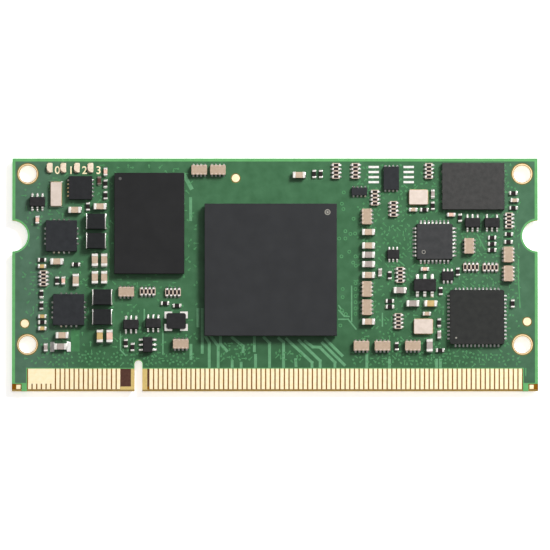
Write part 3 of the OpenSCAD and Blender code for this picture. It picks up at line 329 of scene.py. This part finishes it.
# Traces and vias: thin copper tracks under the mask, which stand out as pale green lines, and small
# plated holes in rings. The long tracks run from the processor down to the contacts, and the small
# holes with their short tails are a seeded pattern. What may cross differs in height by a hair.
TRACK_SINK = 0.01
TRACK_FOOT = FRONT - TRACK_SINK
TRACE_LIFT = 0.005
TRACE_TOP = FRONT + TRACE_LIFT
STEP_UP = 0.0005
TRACE_W = 0.36
TRACES = [
    [(-9.35, -4.5), (-9.35, -10)], [(-9.9, -4.5), (-9.9, -6.6)],
    [(-8.9, -8), (-8.45, -8.8), (-8.45, -11.85)], [(-8.2, -8), (-7.3, -9.2), (-7.3, -11.85)],
    [(-7, -8), (-7, -8.9), (-6.2, -9.8)], [(-5.5, -8.1), (-4.1, -9.2), (-4.1, -9.9)],
    [(-2.65, -8), (-2.65, -9.8)], [(-2.5, -10.4), (-2.5, -11.85)],
    [(-1.4, -8.1), (-0.7, -8.8), (-0.7, -11.85)], [(0.5, -8.2), (1.1, -8.7), (1.1, -11.85)],
    [(1.5, -8.3), (4.75, -11.3), (4.75, -11.85)], [(3.1, -8.5), (5.8, -11.1), (5.8, -11.85)],
    [(5.9, -9.5), (7.7, -11.3), (7.7, -11.85)], [(6.1, -8.8), (8.9, -11.6)], [(6.5, -8.3), (8.6, -10.4)],
    [(3.9, -8.6), (4.85, -9.3), (5.8, -9.35)], [(-5.5, -11.2), (-5.5, -11.85)],
    [(-4.35, -11.4), (-4.35, -11.85)], [(2.65, -10.95), (2.7, -11.7)],
    [(-10.85, 7.1), (-10.85, 9.8)], [(-10.8, -9.1), (-10.8, -10.8)],
    [(11.8, -10.3), (11.8, -11.85)], [(14.7, -11), (14.7, -11.85)],
    [(20.75, -11), (20.75, -11.85)], [(21.25, -11), (21.25, -11.85)],
]
THIN_W = 0.18
THIN_TRACES = [
    [(9.85, -1.5), (9.85, -6)], [(8.2, -5.75), (9.4, -5.75), (10.4, -7)], [(8.2, -4), (8.75, -4.8)],
    [(8.2, -4.6), (8.9, -5.35), (9.5, -5.4)], [(13.8, -5), (13.8, -6.6)], [(-16.8, -4.5), (-16.8, -6.6)],
    [(-14.4, -7.3), (-14.4, -10.2)], [(-19.85, -7.4), (-19.85, -9.7), (-19.2, -10.4)],
]
WIDE_W = 0.5
WIDE_TRACES = [[(-11.6, 12.7), (-10.8, 11.2)]]
FAINT_W = 0.16
FAINT_TRACES = [
    [(26, 5.2), (27, 3.2)], [(15, 2.5), (16.6, 1.2)], [(31.3, 1.9), (31.3, -0.8), (31.5, -4.2)],
    [(32.2, -12.1), (32.2, -13)],
]
FLOOD_W = 1.1
FLOOD_LIFT = 0.004
FLOOD = [(-25.65, -9.35), (-25.65, -7.65)]
RING_R = 0.24
RING_SIDES = 12
RING_HOLE_R = 0.14
RING_HOLE_SIDES = 10
RINGS = [
    (8.85, 10.6), (8.6, 9.15), (8.8, 8.45), (10.1, 7.2), (9.05, 5.6), (9.7, 5.25), (10.3, 5.3),
    (8.25, 4.65), (9.05, 4.65), (9.55, 2.95), (8.55, 2.35), (10.35, 2.35), (10.05, 1.55), (10.4, 1.15),
    (8.7, -1.85), (8.7, -2.9), (8.6, -4.6), (9.1, -5.1), (8.4, -6.55), (10.35, -1.1), (10.35, -1.85),
    (10.35, -2.75), (10.35, -3.55), (10.35, -4.35), (10.35, -5.05),
]
VIA_SEED = 200
VIA_R = 0.13
VIA_SIDES = 8
VIA_HOLE_R = 0.05
VIA_HOLE_SIDES = 6
VIA_GRID = 0.15
VIA_SPACING = 0.36
VIA_LEVELS = 12
STEPS_PER_VIA = 3
VIA_FIELDS = [
    (-32.6, -11.6, -10, 14.2, 500), (10.6, -11.6, 31.4, 14.2, 1450), (-30, -11.6, -10.5, -10, 280),
    (10, -11.6, 31.6, -10, 340), (-7.2, -11, -3, -8.8, 60), (0.2, -11.2, 3.6, -9.8, 40),
]
TAIL_SEED = 201
TAIL_W = 0.09
TAIL_LENGTHS = (0.2, 0.3, 0.5)
TAIL_TURN = 45


def add_bar(bm, start, end, width, low, high):
    """Flat bar between two points of the board, in millimetres, half its width longer at both ends."""
    run = Vector(end) - Vector(start)
    middle = (Vector(end) + Vector(start)) / 2
    turn = Matrix.Rotation(math.atan2(run.y, run.x), 4, "Z")
    size = Matrix.Diagonal((run.length + width, width, high - low, 1))
    place = Matrix.Translation((middle.x, middle.y, (low + high) / 2))
    bmesh.ops.create_cube(bm, size=1, matrix=Matrix.Scale(MM, 4) @ place @ turn @ size)


def add_run(bm, points, width):
    """Track through its points, each bar of it a hair higher than the one before."""
    for step, (start, end) in enumerate(zip(points, points[1:])):
        add_bar(bm, start, end, width, TRACK_FOOT, TRACE_TOP + step * STEP_UP)


def add_disc(bm, x, y, radius, low, high, sides):
    """Low round disc at a point of the board, in millimetres."""
    place = Matrix.Scale(MM, 4) @ Matrix.Translation((x, y, (low + high) / 2))
    bmesh.ops.create_cone(bm, cap_ends=True, segments=sides, radius1=radius, radius2=radius,
                          depth=high - low, matrix=place)


def via_spots():
    """Seeded places on a raster, clear of each other, of the screw holes, the marks and the notches."""
    dice = random.Random(VIA_SEED)
    keep_clear = [(hole, HOLE_CLEAR_R) for hole in HOLES] + [(mark, MARK_CLEAR_R) for mark in MARKS]
    keep_clear += [((side * HALF_LENGTH, LATCH_Y), LATCH_R) for side in (-1, 1)]
    keep_clear += [(KEY_NOTCH, KEY_NOTCH_R)]
    kept = []
    for left, low, right, high, tries in VIA_FIELDS:
        for _ in range(tries):
            spot = (round(dice.uniform(left, right) / VIA_GRID) * VIA_GRID,
                    round(dice.uniform(low, high) / VIA_GRID) * VIA_GRID)
            if all(math.dist(spot, at) > radius + VIA_SPACING for at, radius in keep_clear):
                kept.append(spot)
                keep_clear.append((spot, 0))
    return kept


def gather(bm, small):
    """Moves a small mesh into a large one, so that the operators walk through the small one only."""
    mesh = bpy.data.meshes.new("gathered")
    small.to_mesh(mesh)
    small.free()
    bm.from_mesh(mesh)
    bpy.data.meshes.remove(mesh)


trace_green = mottled("mask_over_trace", tone(84, 136, 96), tone(98, 150, 110),
                      patch=0.5, roughness=0.4, gloss=0.2)
fine_green = mottled("mask_over_fine_tracks", tone(66, 126, 78), tone(82, 142, 94),
                     patch=0.8, roughness=0.4, gloss=0.2)
flood_green = mottled("mask_over_flood", tone(54, 106, 64), tone(62, 116, 72),
                      patch=0.8, roughness=0.4, gloss=0.2)
tracks = bmesh.new()
for width, runs in ((TRACE_W, TRACES), (THIN_W, THIN_TRACES), (WIDE_W, WIDE_TRACES)):
    for points in runs:
        add_run(tracks, points, width)
place_piece(tracks, "copper_tracks", [trace_green])
fine_tracks = bmesh.new()
for points in FAINT_TRACES:
    add_run(fine_tracks, points, FAINT_W)
plugs = bmesh.new()
for x, y in RINGS:
    add_disc(fine_tracks, x, y, RING_R, TRACK_FOOT, TRACE_TOP + 2 * STEP_UP, RING_SIDES)
    add_disc(plugs, x, y, RING_HOLE_R, TRACK_FOOT, TRACE_TOP + 3 * STEP_UP, RING_HOLE_SIDES)
far_rings = bmesh.new()
dice = random.Random(TAIL_SEED)
spots = via_spots()
for count, (x, y) in enumerate(spots):
    level = count % VIA_LEVELS
    top = TRACE_TOP + STEPS_PER_VIA * (1 + level) * STEP_UP
    turn = math.radians(TAIL_TURN * dice.randrange(360 // TAIL_TURN))
    reach = dice.choice(TAIL_LENGTHS)
    end = (x + reach * math.cos(turn), y + reach * math.sin(turn))
    ring = bmesh.new()
    add_disc(ring, x, y, VIA_R, TRACK_FOOT, top + STEP_UP, VIA_SIDES)
    others = [spot for spot in spots if spot != (x, y)]
    if end[1] > CONTACT_TOP + VIA_R and all(math.dist(end, spot) > 2 * VIA_R for spot in others):
        add_bar(ring, (x, y), end, TAIL_W, TRACK_FOOT, top)
    gather(fine_tracks, ring)
    plug = bmesh.new()
    add_disc(plug, x, y, VIA_HOLE_R, TRACK_FOOT, top + 2 * STEP_UP, VIA_HOLE_SIDES)
    gather(plugs, plug)
    far_ring = bmesh.new()
    add_disc(far_ring, x, y, VIA_R, BACK - TRACE_LIFT - level * STEP_UP, BACK + TRACK_SINK, VIA_SIDES)
    gather(far_rings, far_ring)
place_piece(fine_tracks, "fine_tracks", [fine_green])
place_piece(plugs, "plugged_vias", [copper_green])
place_piece(far_rings, "back_via_rings", [fine_green])
flood = bmesh.new()
add_bar(flood, *FLOOD, FLOOD_W, TRACK_FOOT, FRONT + FLOOD_LIFT)
place_piece(flood, "copper_flood", [flood_green])

# Gold: contact fingers, the barrels of the screw holes, the alignment marks, the corner pads and the
# numbers of the light-emitting diodes. All are copper plated with nickel and a thin soft gold. The
# thin brown ring at the mouth of each barrel is painted shade, where the barrel wall lies in shadow.
FINGER_ROUND = 0.015
HOLE_R = 1.1
BARREL_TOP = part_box("mounting_hole_plating")[1].z / MM
MOUTH_SHADE_W = 0.07
MOUTH_SHADE_THICK = 0.02
MOUTH_SHADE_SINK = 0.006
MOUTH_SHADE_POINTS = 48
NUMBER_HIGH = 1.4
NUMBER_LEFT = [-28.35, -26.6, -24.85, -23.05]
NUMBER_FOOT = 13.0
NUMBER_LIFT = 0.026
NUMBER_FATTEN = 0.015
NUMBER_STEPS = 6
SHARP_TURN = 30
MERGE_WITHIN = 1e-7
FLAT_WITHIN = 0.01


def merged_copy(node):
    """The CAD node's loose triangles as one clean mesh with its flat faces whole."""
    bm = bmesh.new()
    bm.from_mesh(nodes[node].data)
    bmesh.ops.remove_doubles(bm, verts=bm.verts, dist=MERGE_WITHIN)
    bmesh.ops.dissolve_limit(bm, angle_limit=FLAT_WITHIN, verts=bm.verts, edges=bm.edges)
    return bm


def softened_copy(node, radius, segments=2):
    """Copy of a CAD node with its sharp edges rounded; only the rounded strips are shaded smooth."""
    bm = merged_copy(node)
    edges = [edge for edge in bm.edges if len(edge.link_faces) == 2
             and edge.calc_face_angle(0) > math.radians(SHARP_TURN)]
    rounded = bmesh.ops.bevel(bm, geom=edges, offset=radius * MM, offset_type="OFFSET", segments=segments,
                              profile=0.5, affect="EDGES", clamp_overlap=True, material=-1)
    for face in rounded["faces"]:
        face.smooth = True
    bmesh.ops.dissolve_degenerate(bm, dist=MERGE_WITHIN, edges=bm.edges)
    return bm


def place_rounded(node, name, material, radius, segments=2):
    """Rounded copy of a CAD node in one finish, placed in the node's stead."""
    place_piece(softened_copy(node, radius, segments), name, [material], [node])


gold = mottled("plated_gold", tone(255, 241, 205), tone(250, 231, 184),
               patch=0.5, roughness=0.34, metallic=0.75)
barrel_gold = mottled("barrel_gold", tone(246, 226, 182), tone(230, 206, 158),
                      patch=0.4, roughness=0.4, metallic=1.0)
# Painted shade: a brown ring at each barrel's mouth stands for the barrel wall in shadow.
mouth_shade_brown = mottled("barrel_mouth_painted_shade", tone(166, 124, 66), tone(146, 104, 52),
                    patch=0.3, roughness=0.5, metallic=0.6)
for node, name in (("edge_contacts_front", "front_fingers"), ("edge_contacts_back", "back_fingers"),
                   ("gold_pads", "bare_gold_marks")):
    place_rounded(node, name, gold, FINGER_ROUND, segments=1)
dress("mounting_hole_plating", barrel_gold)
# Rings of painted shade round the mouth of each screw hole.
mouth_shade_loops = [full_circle(x, y, r, MOUTH_SHADE_POINTS) for x, y in HOLES for r in (HOLE_R, HOLE_R + MOUTH_SHADE_W)]
mouth_shade_plate = cut_plate("hole_mouth_painted_shade", mouth_shade_loops, MOUTH_SHADE_THICK, BARREL_TOP - MOUTH_SHADE_SINK)
place_piece(mouth_shade_plate, "hole_mouth_painted_shade", [mouth_shade_brown])
for number, left in enumerate(NUMBER_LEFT):
    text = bpy.data.curves.new("number", "FONT")
    text.body = str(number)
    text.size = NUMBER_HIGH
    text.extrude = NUMBER_LIFT
    text.offset = NUMBER_FATTEN
    text.resolution_u = NUMBER_STEPS
    digit = flat_mesh(text, FRONT)
    bmesh.ops.translate(digit, verts=digit.verts, vec=(left * MM, NUMBER_FOOT * MM, 0))
    place_piece(digit, "gold_number_%d" % number, [gold])

# Tin: solder, leads and the plated ends of the chips, mostly bright and slightly uneven. The solder is
# printed as paste and melted, so its toes are smooth and near white. The diode's ends are dull, and
# those of the capacitor arrays are fired silver paste.
TOE_ROUND = 0.05
PAD_ROUND = 0.012
LEAD_ROUND = 0.02
CAP_ROUND = 0.03
CLIP_ROUND = 0.008
tin = mottled("bright_tin", tone(244, 240, 234), tone(222, 218, 212),
              patch=0.25, roughness=0.34, metallic=1.0)
solder = mottled("melted_solder", tone(250, 248, 244), tone(230, 228, 224),
                 patch=0.3, roughness=0.3, metallic=1.0)
dull_tin = mottled("dull_tin", tone(134, 118, 110), tone(112, 98, 92),
                   patch=0.2, roughness=0.5, metallic=0.7)
paste_silver = mottled("fired_silver", tone(202, 184, 168), tone(186, 166, 150),
                       patch=0.25, roughness=0.45, metallic=0.6)
for node in ("chip_solder", "package_solder"):
    place_rounded(node, node + "_toes", solder, TOE_ROUND, segments=3)
place_rounded("spare_footprint_pads", "empty_footprint", solder, PAD_ROUND, segments=1)
place_rounded("oscillator_pads", "oscillator_feet", tin, PAD_ROUND, segments=1)
for node in ("processor_solder_balls", "memory_solder_balls"):
    dress(node, solder)
for node in ("flash_leadframe", "network_leadframe", "usb_leadframe", "converter_leadframes",
             "regulator_leadframe", "eeprom_leadframe", "level_shifter_leadframe"):
    dress(node, tin)
for node in ("logic_leads", "switch_leads", "load_switch_leads"):
    place_rounded(node, node + "_formed", tin, LEAD_ROUND)
for node in ("inductor_terminals", "large_capacitor_terminals", "small_capacitor_terminals",
             "resistor_terminals", "back_capacitor_terminals"):
    place_rounded(node, node + "_plated", tin, CAP_ROUND)
place_rounded("resistor_array_terminals", "resistor_array_terminals_plated", tin, CLIP_ROUND)
place_rounded("diode_terminals", "diode_terminals_plated", dull_tin, CAP_ROUND)
place_rounded("capacitor_array_terminals", "capacitor_array_terminals_fired", paste_silver,
              CLIP_ROUND)

# Processor and memory: ball-grid packages with a black mould cap on a thin green laminate.
# The cap is cast over many packages at once and sawn through, so its sides are straight and its
# edges crisp. A shallow round mark on the cap shows the corner of the first ball.
SAWN_ROUND = 0.04
PROCESSOR_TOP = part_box("processor_mould")[1].z / MM
PROCESSOR_MARK = (6.75, 7.95)
PROCESSOR_MARK_R = 0.375
MEMORY_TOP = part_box("memory_mould")[1].z / MM
MEMORY_MARK = (-19.9, 12.3)
MEMORY_MARK_R = 0.2
MARK_SINK = 0.01
RIM_LIFT = 0.002
FLOOR_LIFT = 0.003
DOT_LIFT = 0.004
FLOOR_SHARE = 0.7
DOT_SHARE = 0.35
package_green = mottled("package_laminate", tone(58, 74, 52), tone(84, 92, 60), patch=0.3, roughness=0.5)
processor_black = mottled("processor_mould", tone(36, 37, 39), tone(41, 42, 44),
                          patch=2.2, roughness=0.5, gloss=0.2, grain=0.25)
memory_black = mottled("memory_mould", tone(22, 22, 23), tone(27, 27, 28),
                       patch=2.0, roughness=0.5, gloss=0.2, grain=0.25)
mark_dark = mottled("mark_floor", tone(66, 66, 64), tone(76, 75, 72), patch=0.2, roughness=0.5)
mark_pale = mottled("mark_rim", tone(128, 125, 116), tone(146, 142, 132), patch=0.2, roughness=0.5)


def add_mark(bm, spot, radius, surface, lift, sides):
    """Round mark that stands a hair above the surface of a mould."""
    add_disc(bm, *spot, radius, surface - MARK_SINK, surface + lift, sides)


for node, material, slot in (("processor_substrate", package_green, "package_laminate"),
                             ("memory_substrate", package_green, "package_laminate"),
                             ("processor_mould", processor_black, "mould"),
                             ("memory_mould", memory_black, "mould")):
    place_rounded(node, node + "_sawn", material, SAWN_ROUND)
pale_marks = bmesh.new()
dark_marks = bmesh.new()
add_mark(pale_marks, PROCESSOR_MARK, PROCESSOR_MARK_R, PROCESSOR_TOP, RIM_LIFT, sides=24)
add_mark(dark_marks, PROCESSOR_MARK, FLOOR_SHARE * PROCESSOR_MARK_R, PROCESSOR_TOP, FLOOR_LIFT, sides=24)
add_mark(pale_marks, PROCESSOR_MARK, DOT_SHARE * PROCESSOR_MARK_R, PROCESSOR_TOP, DOT_LIFT, sides=16)
add_mark(dark_marks, MEMORY_MARK, MEMORY_MARK_R, MEMORY_TOP, RIM_LIFT, sides=20)
place_piece(pale_marks, "first_ball_rims", [mark_pale])
place_piece(dark_marks, "first_ball_floors", [mark_dark])

# Leadless packages: flash, the two transceivers, converters, regulator and small memories.
# Their moulds are filled epoxy; the flash is greyer and coarser than the others. A small ring or dot
# shows the first terminal of the two transceivers.
CAST_ROUND = 0.03
USB_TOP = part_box("usb_mould")[1].z / MM
USB_MARK = (19.1, 2.85)
USB_MARK_R = 0.25
NETWORK_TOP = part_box("network_mould")[1].z / MM
NETWORK_MARK = (23.25, -8.2)
NETWORK_MARK_R = 0.12
flash_grey = mottled("flash_mould", tone(51, 51, 50), tone(61, 60, 59),
                     patch=0.6, roughness=0.6, gloss=0.2, grain=0.5)
leadless_black = mottled("leadless_mould", tone(30, 32, 35), tone(38, 40, 43),
                         patch=0.8, roughness=0.5, gloss=0.2, grain=0.3)
network_black = mottled("network_mould", tone(31, 32, 31), tone(39, 40, 38),
                        patch=0.8, roughness=0.5, gloss=0.2, grain=0.3)
usb_grey = mottled("usb_mould", tone(46, 47, 48), tone(56, 56, 57),
                   patch=0.8, roughness=0.5, gloss=0.2, grain=0.3)
regulator_black = mottled("regulator_mould", tone(24, 25, 27), tone(31, 32, 34),
                          patch=0.8, roughness=0.5, gloss=0.2, grain=0.3)
for node, material, slot in (("flash_mould", flash_grey, "flash_mould"),
                             ("network_mould", network_black, "mould"),
                             ("usb_mould", usb_grey, "mould"),
                             ("converter_moulds", leadless_black, "mould"),
                             ("regulator_mould", regulator_black, "mould"),
                             ("eeprom_mould", leadless_black, "mould"),
                             ("level_shifter_mould", leadless_black, "mould")):
    place_rounded(node, node + "_cast", material, CAST_ROUND)
first_rings = bmesh.new()
ring_floors = bmesh.new()
add_mark(first_rings, USB_MARK, USB_MARK_R, USB_TOP, RIM_LIFT, sides=20)
add_mark(ring_floors, USB_MARK, FLOOR_SHARE * USB_MARK_R, USB_TOP, FLOOR_LIFT, sides=20)
add_mark(first_rings, NETWORK_MARK, NETWORK_MARK_R, NETWORK_TOP, RIM_LIFT, sides=16)
place_piece(first_rings, "first_terminal_rings", [mark_pale])
place_piece(ring_floors, "first_terminal_floors", [usb_grey])

# Gull-wing packages: small epoxy bodies moulded round a leadframe, with drafted sides. Their leads,
# which the tin section makes, are bent out and down to the board and soldered there.
gull_black = mottled("gull_mould", tone(28, 27, 28), tone(38, 37, 38),
                     patch=0.5, roughness=0.5, gloss=0.2, grain=0.3)
for node in ("logic_bodies", "switch_bodies", "load_switch_body"):
    place_rounded(node, node + "_cast", gull_black, CAST_ROUND)

# Inductors: bricks of iron powder, pressed round a coil and baked. Thin plated ends, which the tin
# section makes, hold them to the board.
core_black = mottled("inductor_core", tone(18, 20, 21), tone(26, 28, 29),
                     patch=0.5, roughness=0.48, gloss=0.2, grain=0.4)
place_rounded("inductor_cores", "inductor_cores_pressed", core_black, CAST_ROUND)

# Crystals and oscillator: fired ceramic tubs with a quartz plate inside. The crystals are closed by a
# seam-welded metal lid, and the oscillator's body is dark ceramic. All are soldered to the board.
tub_ceramic = mottled("crystal_ceramic", tone(170, 138, 84), tone(190, 160, 104), patch=0.4, roughness=0.5)
lid_metal = mottled("crystal_lid", tone(222, 207, 196), tone(208, 193, 180),
                    patch=0.6, roughness=0.42, metallic=0.9)
dark_ceramic = mottled("oscillator_ceramic", tone(26, 26, 27), tone(34, 34, 35),
                       patch=0.6, roughness=0.45, gloss=0.2, grain=0.2)
for node, material, slot in (("watch_crystal_base", tub_ceramic, "ceramic"),
                             ("crystal_bases", tub_ceramic, "ceramic"),
                             ("watch_crystal_lid", lid_metal, "lid"),
                             ("crystal_lids", lid_metal, "lid"),
                             ("oscillator_body", dark_ceramic, "dark_ceramic")):
    place_rounded(node, node + "_set", material, CAST_ROUND)

# Light-emitting diodes: small pale bases in a row at the upper left edge, beside their gold numbers.
# A lens of resin is cast on each base.
LED_BASE_ROUND = 0.015
LENS_ROUND = 0.04
led_white = mottled("led_base", tone(216, 200, 172), tone(198, 180, 150), patch=0.2, roughness=0.5)
led_resin = mottled("led_lens", tone(226, 208, 186), tone(212, 192, 168), patch=0.2, roughness=0.3)
place_rounded("led_bases", "led_bases_set", led_white, LED_BASE_ROUND, segments=1)
place_rounded("led_lenses", "led_lenses_cast", led_resin, LENS_ROUND)

# Chips: fired ceramic capacitors, glazed resistors, one diode, and arrays of four of each of the first
# two. The capacitors come from several lots, so most are tan and some are grey, pink or olive. Their
# ends, which the tin section makes, are soldered to the board.
CHIP_ROUND = 0.025
SLIP_ROUND = 0.012
LOT_REACH = 0.7
GLAZE_DROP = 0.019
GLAZE_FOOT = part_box("resistor_array_terminals")[1].z / MM - GLAZE_DROP
TINT_SPOTS = {
    "grey": [(12, 2.5), (12, 1.3), (16.05, -2.05), (17.7, -3.75), (-27.55, -9.3), (19.85, -9.15),
             (-29.45, -9.4), (13.5, 0.25), (20.3, 10.4), (21.1, -7.75)],
    "pink": [(-21.25, -7.95), (-30.55, 7.05), (-27.2, -0.8), (-21.8, 13.25), (22.65, 7.7), (19.25, 0.7)],
    "olive": [(-22.5, -7.95), (-29.95, 1.05), (-29.9, -5.4), (-29.9, -6.95), (20, -3.75)],
}
TINT_COLOURS = {
    "tan": (tone(174, 152, 130), tone(187, 166, 144)),
    "grey": (tone(150, 138, 132), tone(164, 152, 146)),
    "pink": (tone(212, 172, 154), tone(222, 184, 166)),
    "olive": (tone(178, 152, 96), tone(192, 164, 108)),
}


def lot_of(face):
    """Number of the tint that belongs to the chip under a face."""
    spot = face.calc_center_median() / MM
    for index, name in enumerate(TINT_COLOURS):
        if any(math.dist(spot.xy, chip) < LOT_REACH for chip in TINT_SPOTS.get(name, ())):
            return index
    return 0


tints = [mottled("capacitor_" + name, colour, other, patch=0.3, roughness=0.42, gloss=0.3)
         for name, (colour, other) in TINT_COLOURS.items()]
array_pink = mottled("array_ceramic", tone(166, 144, 123), tone(176, 155, 134),
                     patch=0.3, roughness=0.42, gloss=0.3)
glaze = mottled("resistor_glaze", tone(24, 18, 18), tone(34, 27, 26), patch=0.25, roughness=0.4, gloss=0.2)
diode_brown = mottled("diode_glass", tone(64, 32, 28), tone(80, 46, 40),
                      patch=0.2, roughness=0.35, gloss=0.3)
array_slip = mottled("resistor_array_slip", tone(182, 162, 146), tone(196, 176, 160),
                     patch=0.25, roughness=0.45, gloss=0.3)
for node in ("large_capacitor_bodies", "small_capacitor_bodies", "back_capacitor_bodies"):
    fired = softened_copy(node, CHIP_ROUND)
    if node != "back_capacitor_bodies":
        for face in fired.faces:
            face.material_index = lot_of(face)
    place_piece(fired, node + "_fired", tints, [node])
place_rounded("capacitor_array_bodies", "capacitor_array_bodies_fired", array_pink,
              CHIP_ROUND)
place_rounded("resistor_bodies", "resistor_bodies_glazed", glaze, CHIP_ROUND)
place_rounded("diode_body", "diode_body_fired", diode_brown, CHIP_ROUND)
slips = softened_copy("resistor_array_bodies", SLIP_ROUND, segments=1)
for face in slips.faces:
    face.material_index = 1 if face.calc_center_median().z / MM > GLAZE_FOOT else 0
place_piece(slips, "resistor_array_bodies_glazed", [array_slip, glaze],
            ["resistor_array_bodies"])

# Stage: a white light table under the module, a small soft lamp at the upper right, a low softbox on
# that side, a wide one high above and a weak even sky. The camera looks almost straight down through
# a long lens. Places and sizes are in metres, save the camera's sensor, and the powers in watts.
FLOOR_SIZE = 3.0
FLOOR_GLOW = 0.6
SKY = 0.22
LAMPS = [
    ("key_lamp", (0.28, 0.3, 0.42), 0.16, 4.4),
    ("edge_softbox", (0.55, 0.4, 0.16), 0.5, 2.5),
    ("high_softbox", (0.1, 0.2, 1.4), 1.0, 2.8),
]
CAMERA_FAR = 1.0
CAMERA_TILT = math.radians(4)
CAMERA_NEAREST = 0.01
CAMERA_FARTHEST = 10
SENSOR = 36
FRAME_WIDTH = 70.7 * MM
AIM_Y = -0.05 * MM


def soft_lamp(name, at, size, power):
    """Square area lamp that points at the module."""
    data = bpy.data.lights.new(name, "AREA")
    data.size = size
    data.energy = power
    lamp = bpy.data.objects.new(name, data)
    lamp.location = at
    lamp.rotation_euler = (-Vector(at)).to_track_quat("-Z", "Y").to_euler()
    bpy.context.scene.collection.objects.link(lamp)


floor_mesh = bmesh.new()
bmesh.ops.create_grid(floor_mesh, x_segments=1, y_segments=1, size=FLOOR_SIZE / 2)
floor_data = bpy.data.meshes.new("floor")
floor_mesh.to_mesh(floor_data)
floor_mesh.free()
floor = bpy.data.objects.new("floor", floor_data)
floor_white, _, floor_shader = new_material("floor_white", tone(250, 250, 250), roughness=0.8)
floor_shader.inputs["Emission Color"].default_value = tone(255, 255, 255)
floor_shader.inputs["Emission Strength"].default_value = FLOOR_GLOW
floor_data.materials.append(floor_white)
bpy.context.scene.collection.objects.link(floor)

for lamp in LAMPS:
    soft_lamp(*lamp)
world = bpy.data.worlds.new("studio")
world.use_nodes = True
world.node_tree.nodes["Background"].inputs["Color"].default_value = (1.0, 1.0, 1.0, 1.0)
world.node_tree.nodes["Background"].inputs["Strength"].default_value = SKY
bpy.context.scene.world = world
bpy.context.scene.view_settings.view_transform = "Standard"

camera_data = bpy.data.cameras.new("camera")
camera_data.sensor_width = SENSOR
camera_data.lens = SENSOR * CAMERA_FAR / FRAME_WIDTH
camera_data.clip_start = CAMERA_NEAREST
camera_data.clip_end = CAMERA_FARTHEST
camera = bpy.data.objects.new("camera", camera_data)
aim = Vector((0, AIM_Y, FRONT * MM))
back = Vector((0, -math.sin(CAMERA_TILT), math.cos(CAMERA_TILT)))
camera.location = aim + back * CAMERA_FAR
camera.rotation_euler = (CAMERA_TILT, 0, 0)
bpy.context.scene.collection.objects.link(camera)
bpy.context.scene.camera = camera
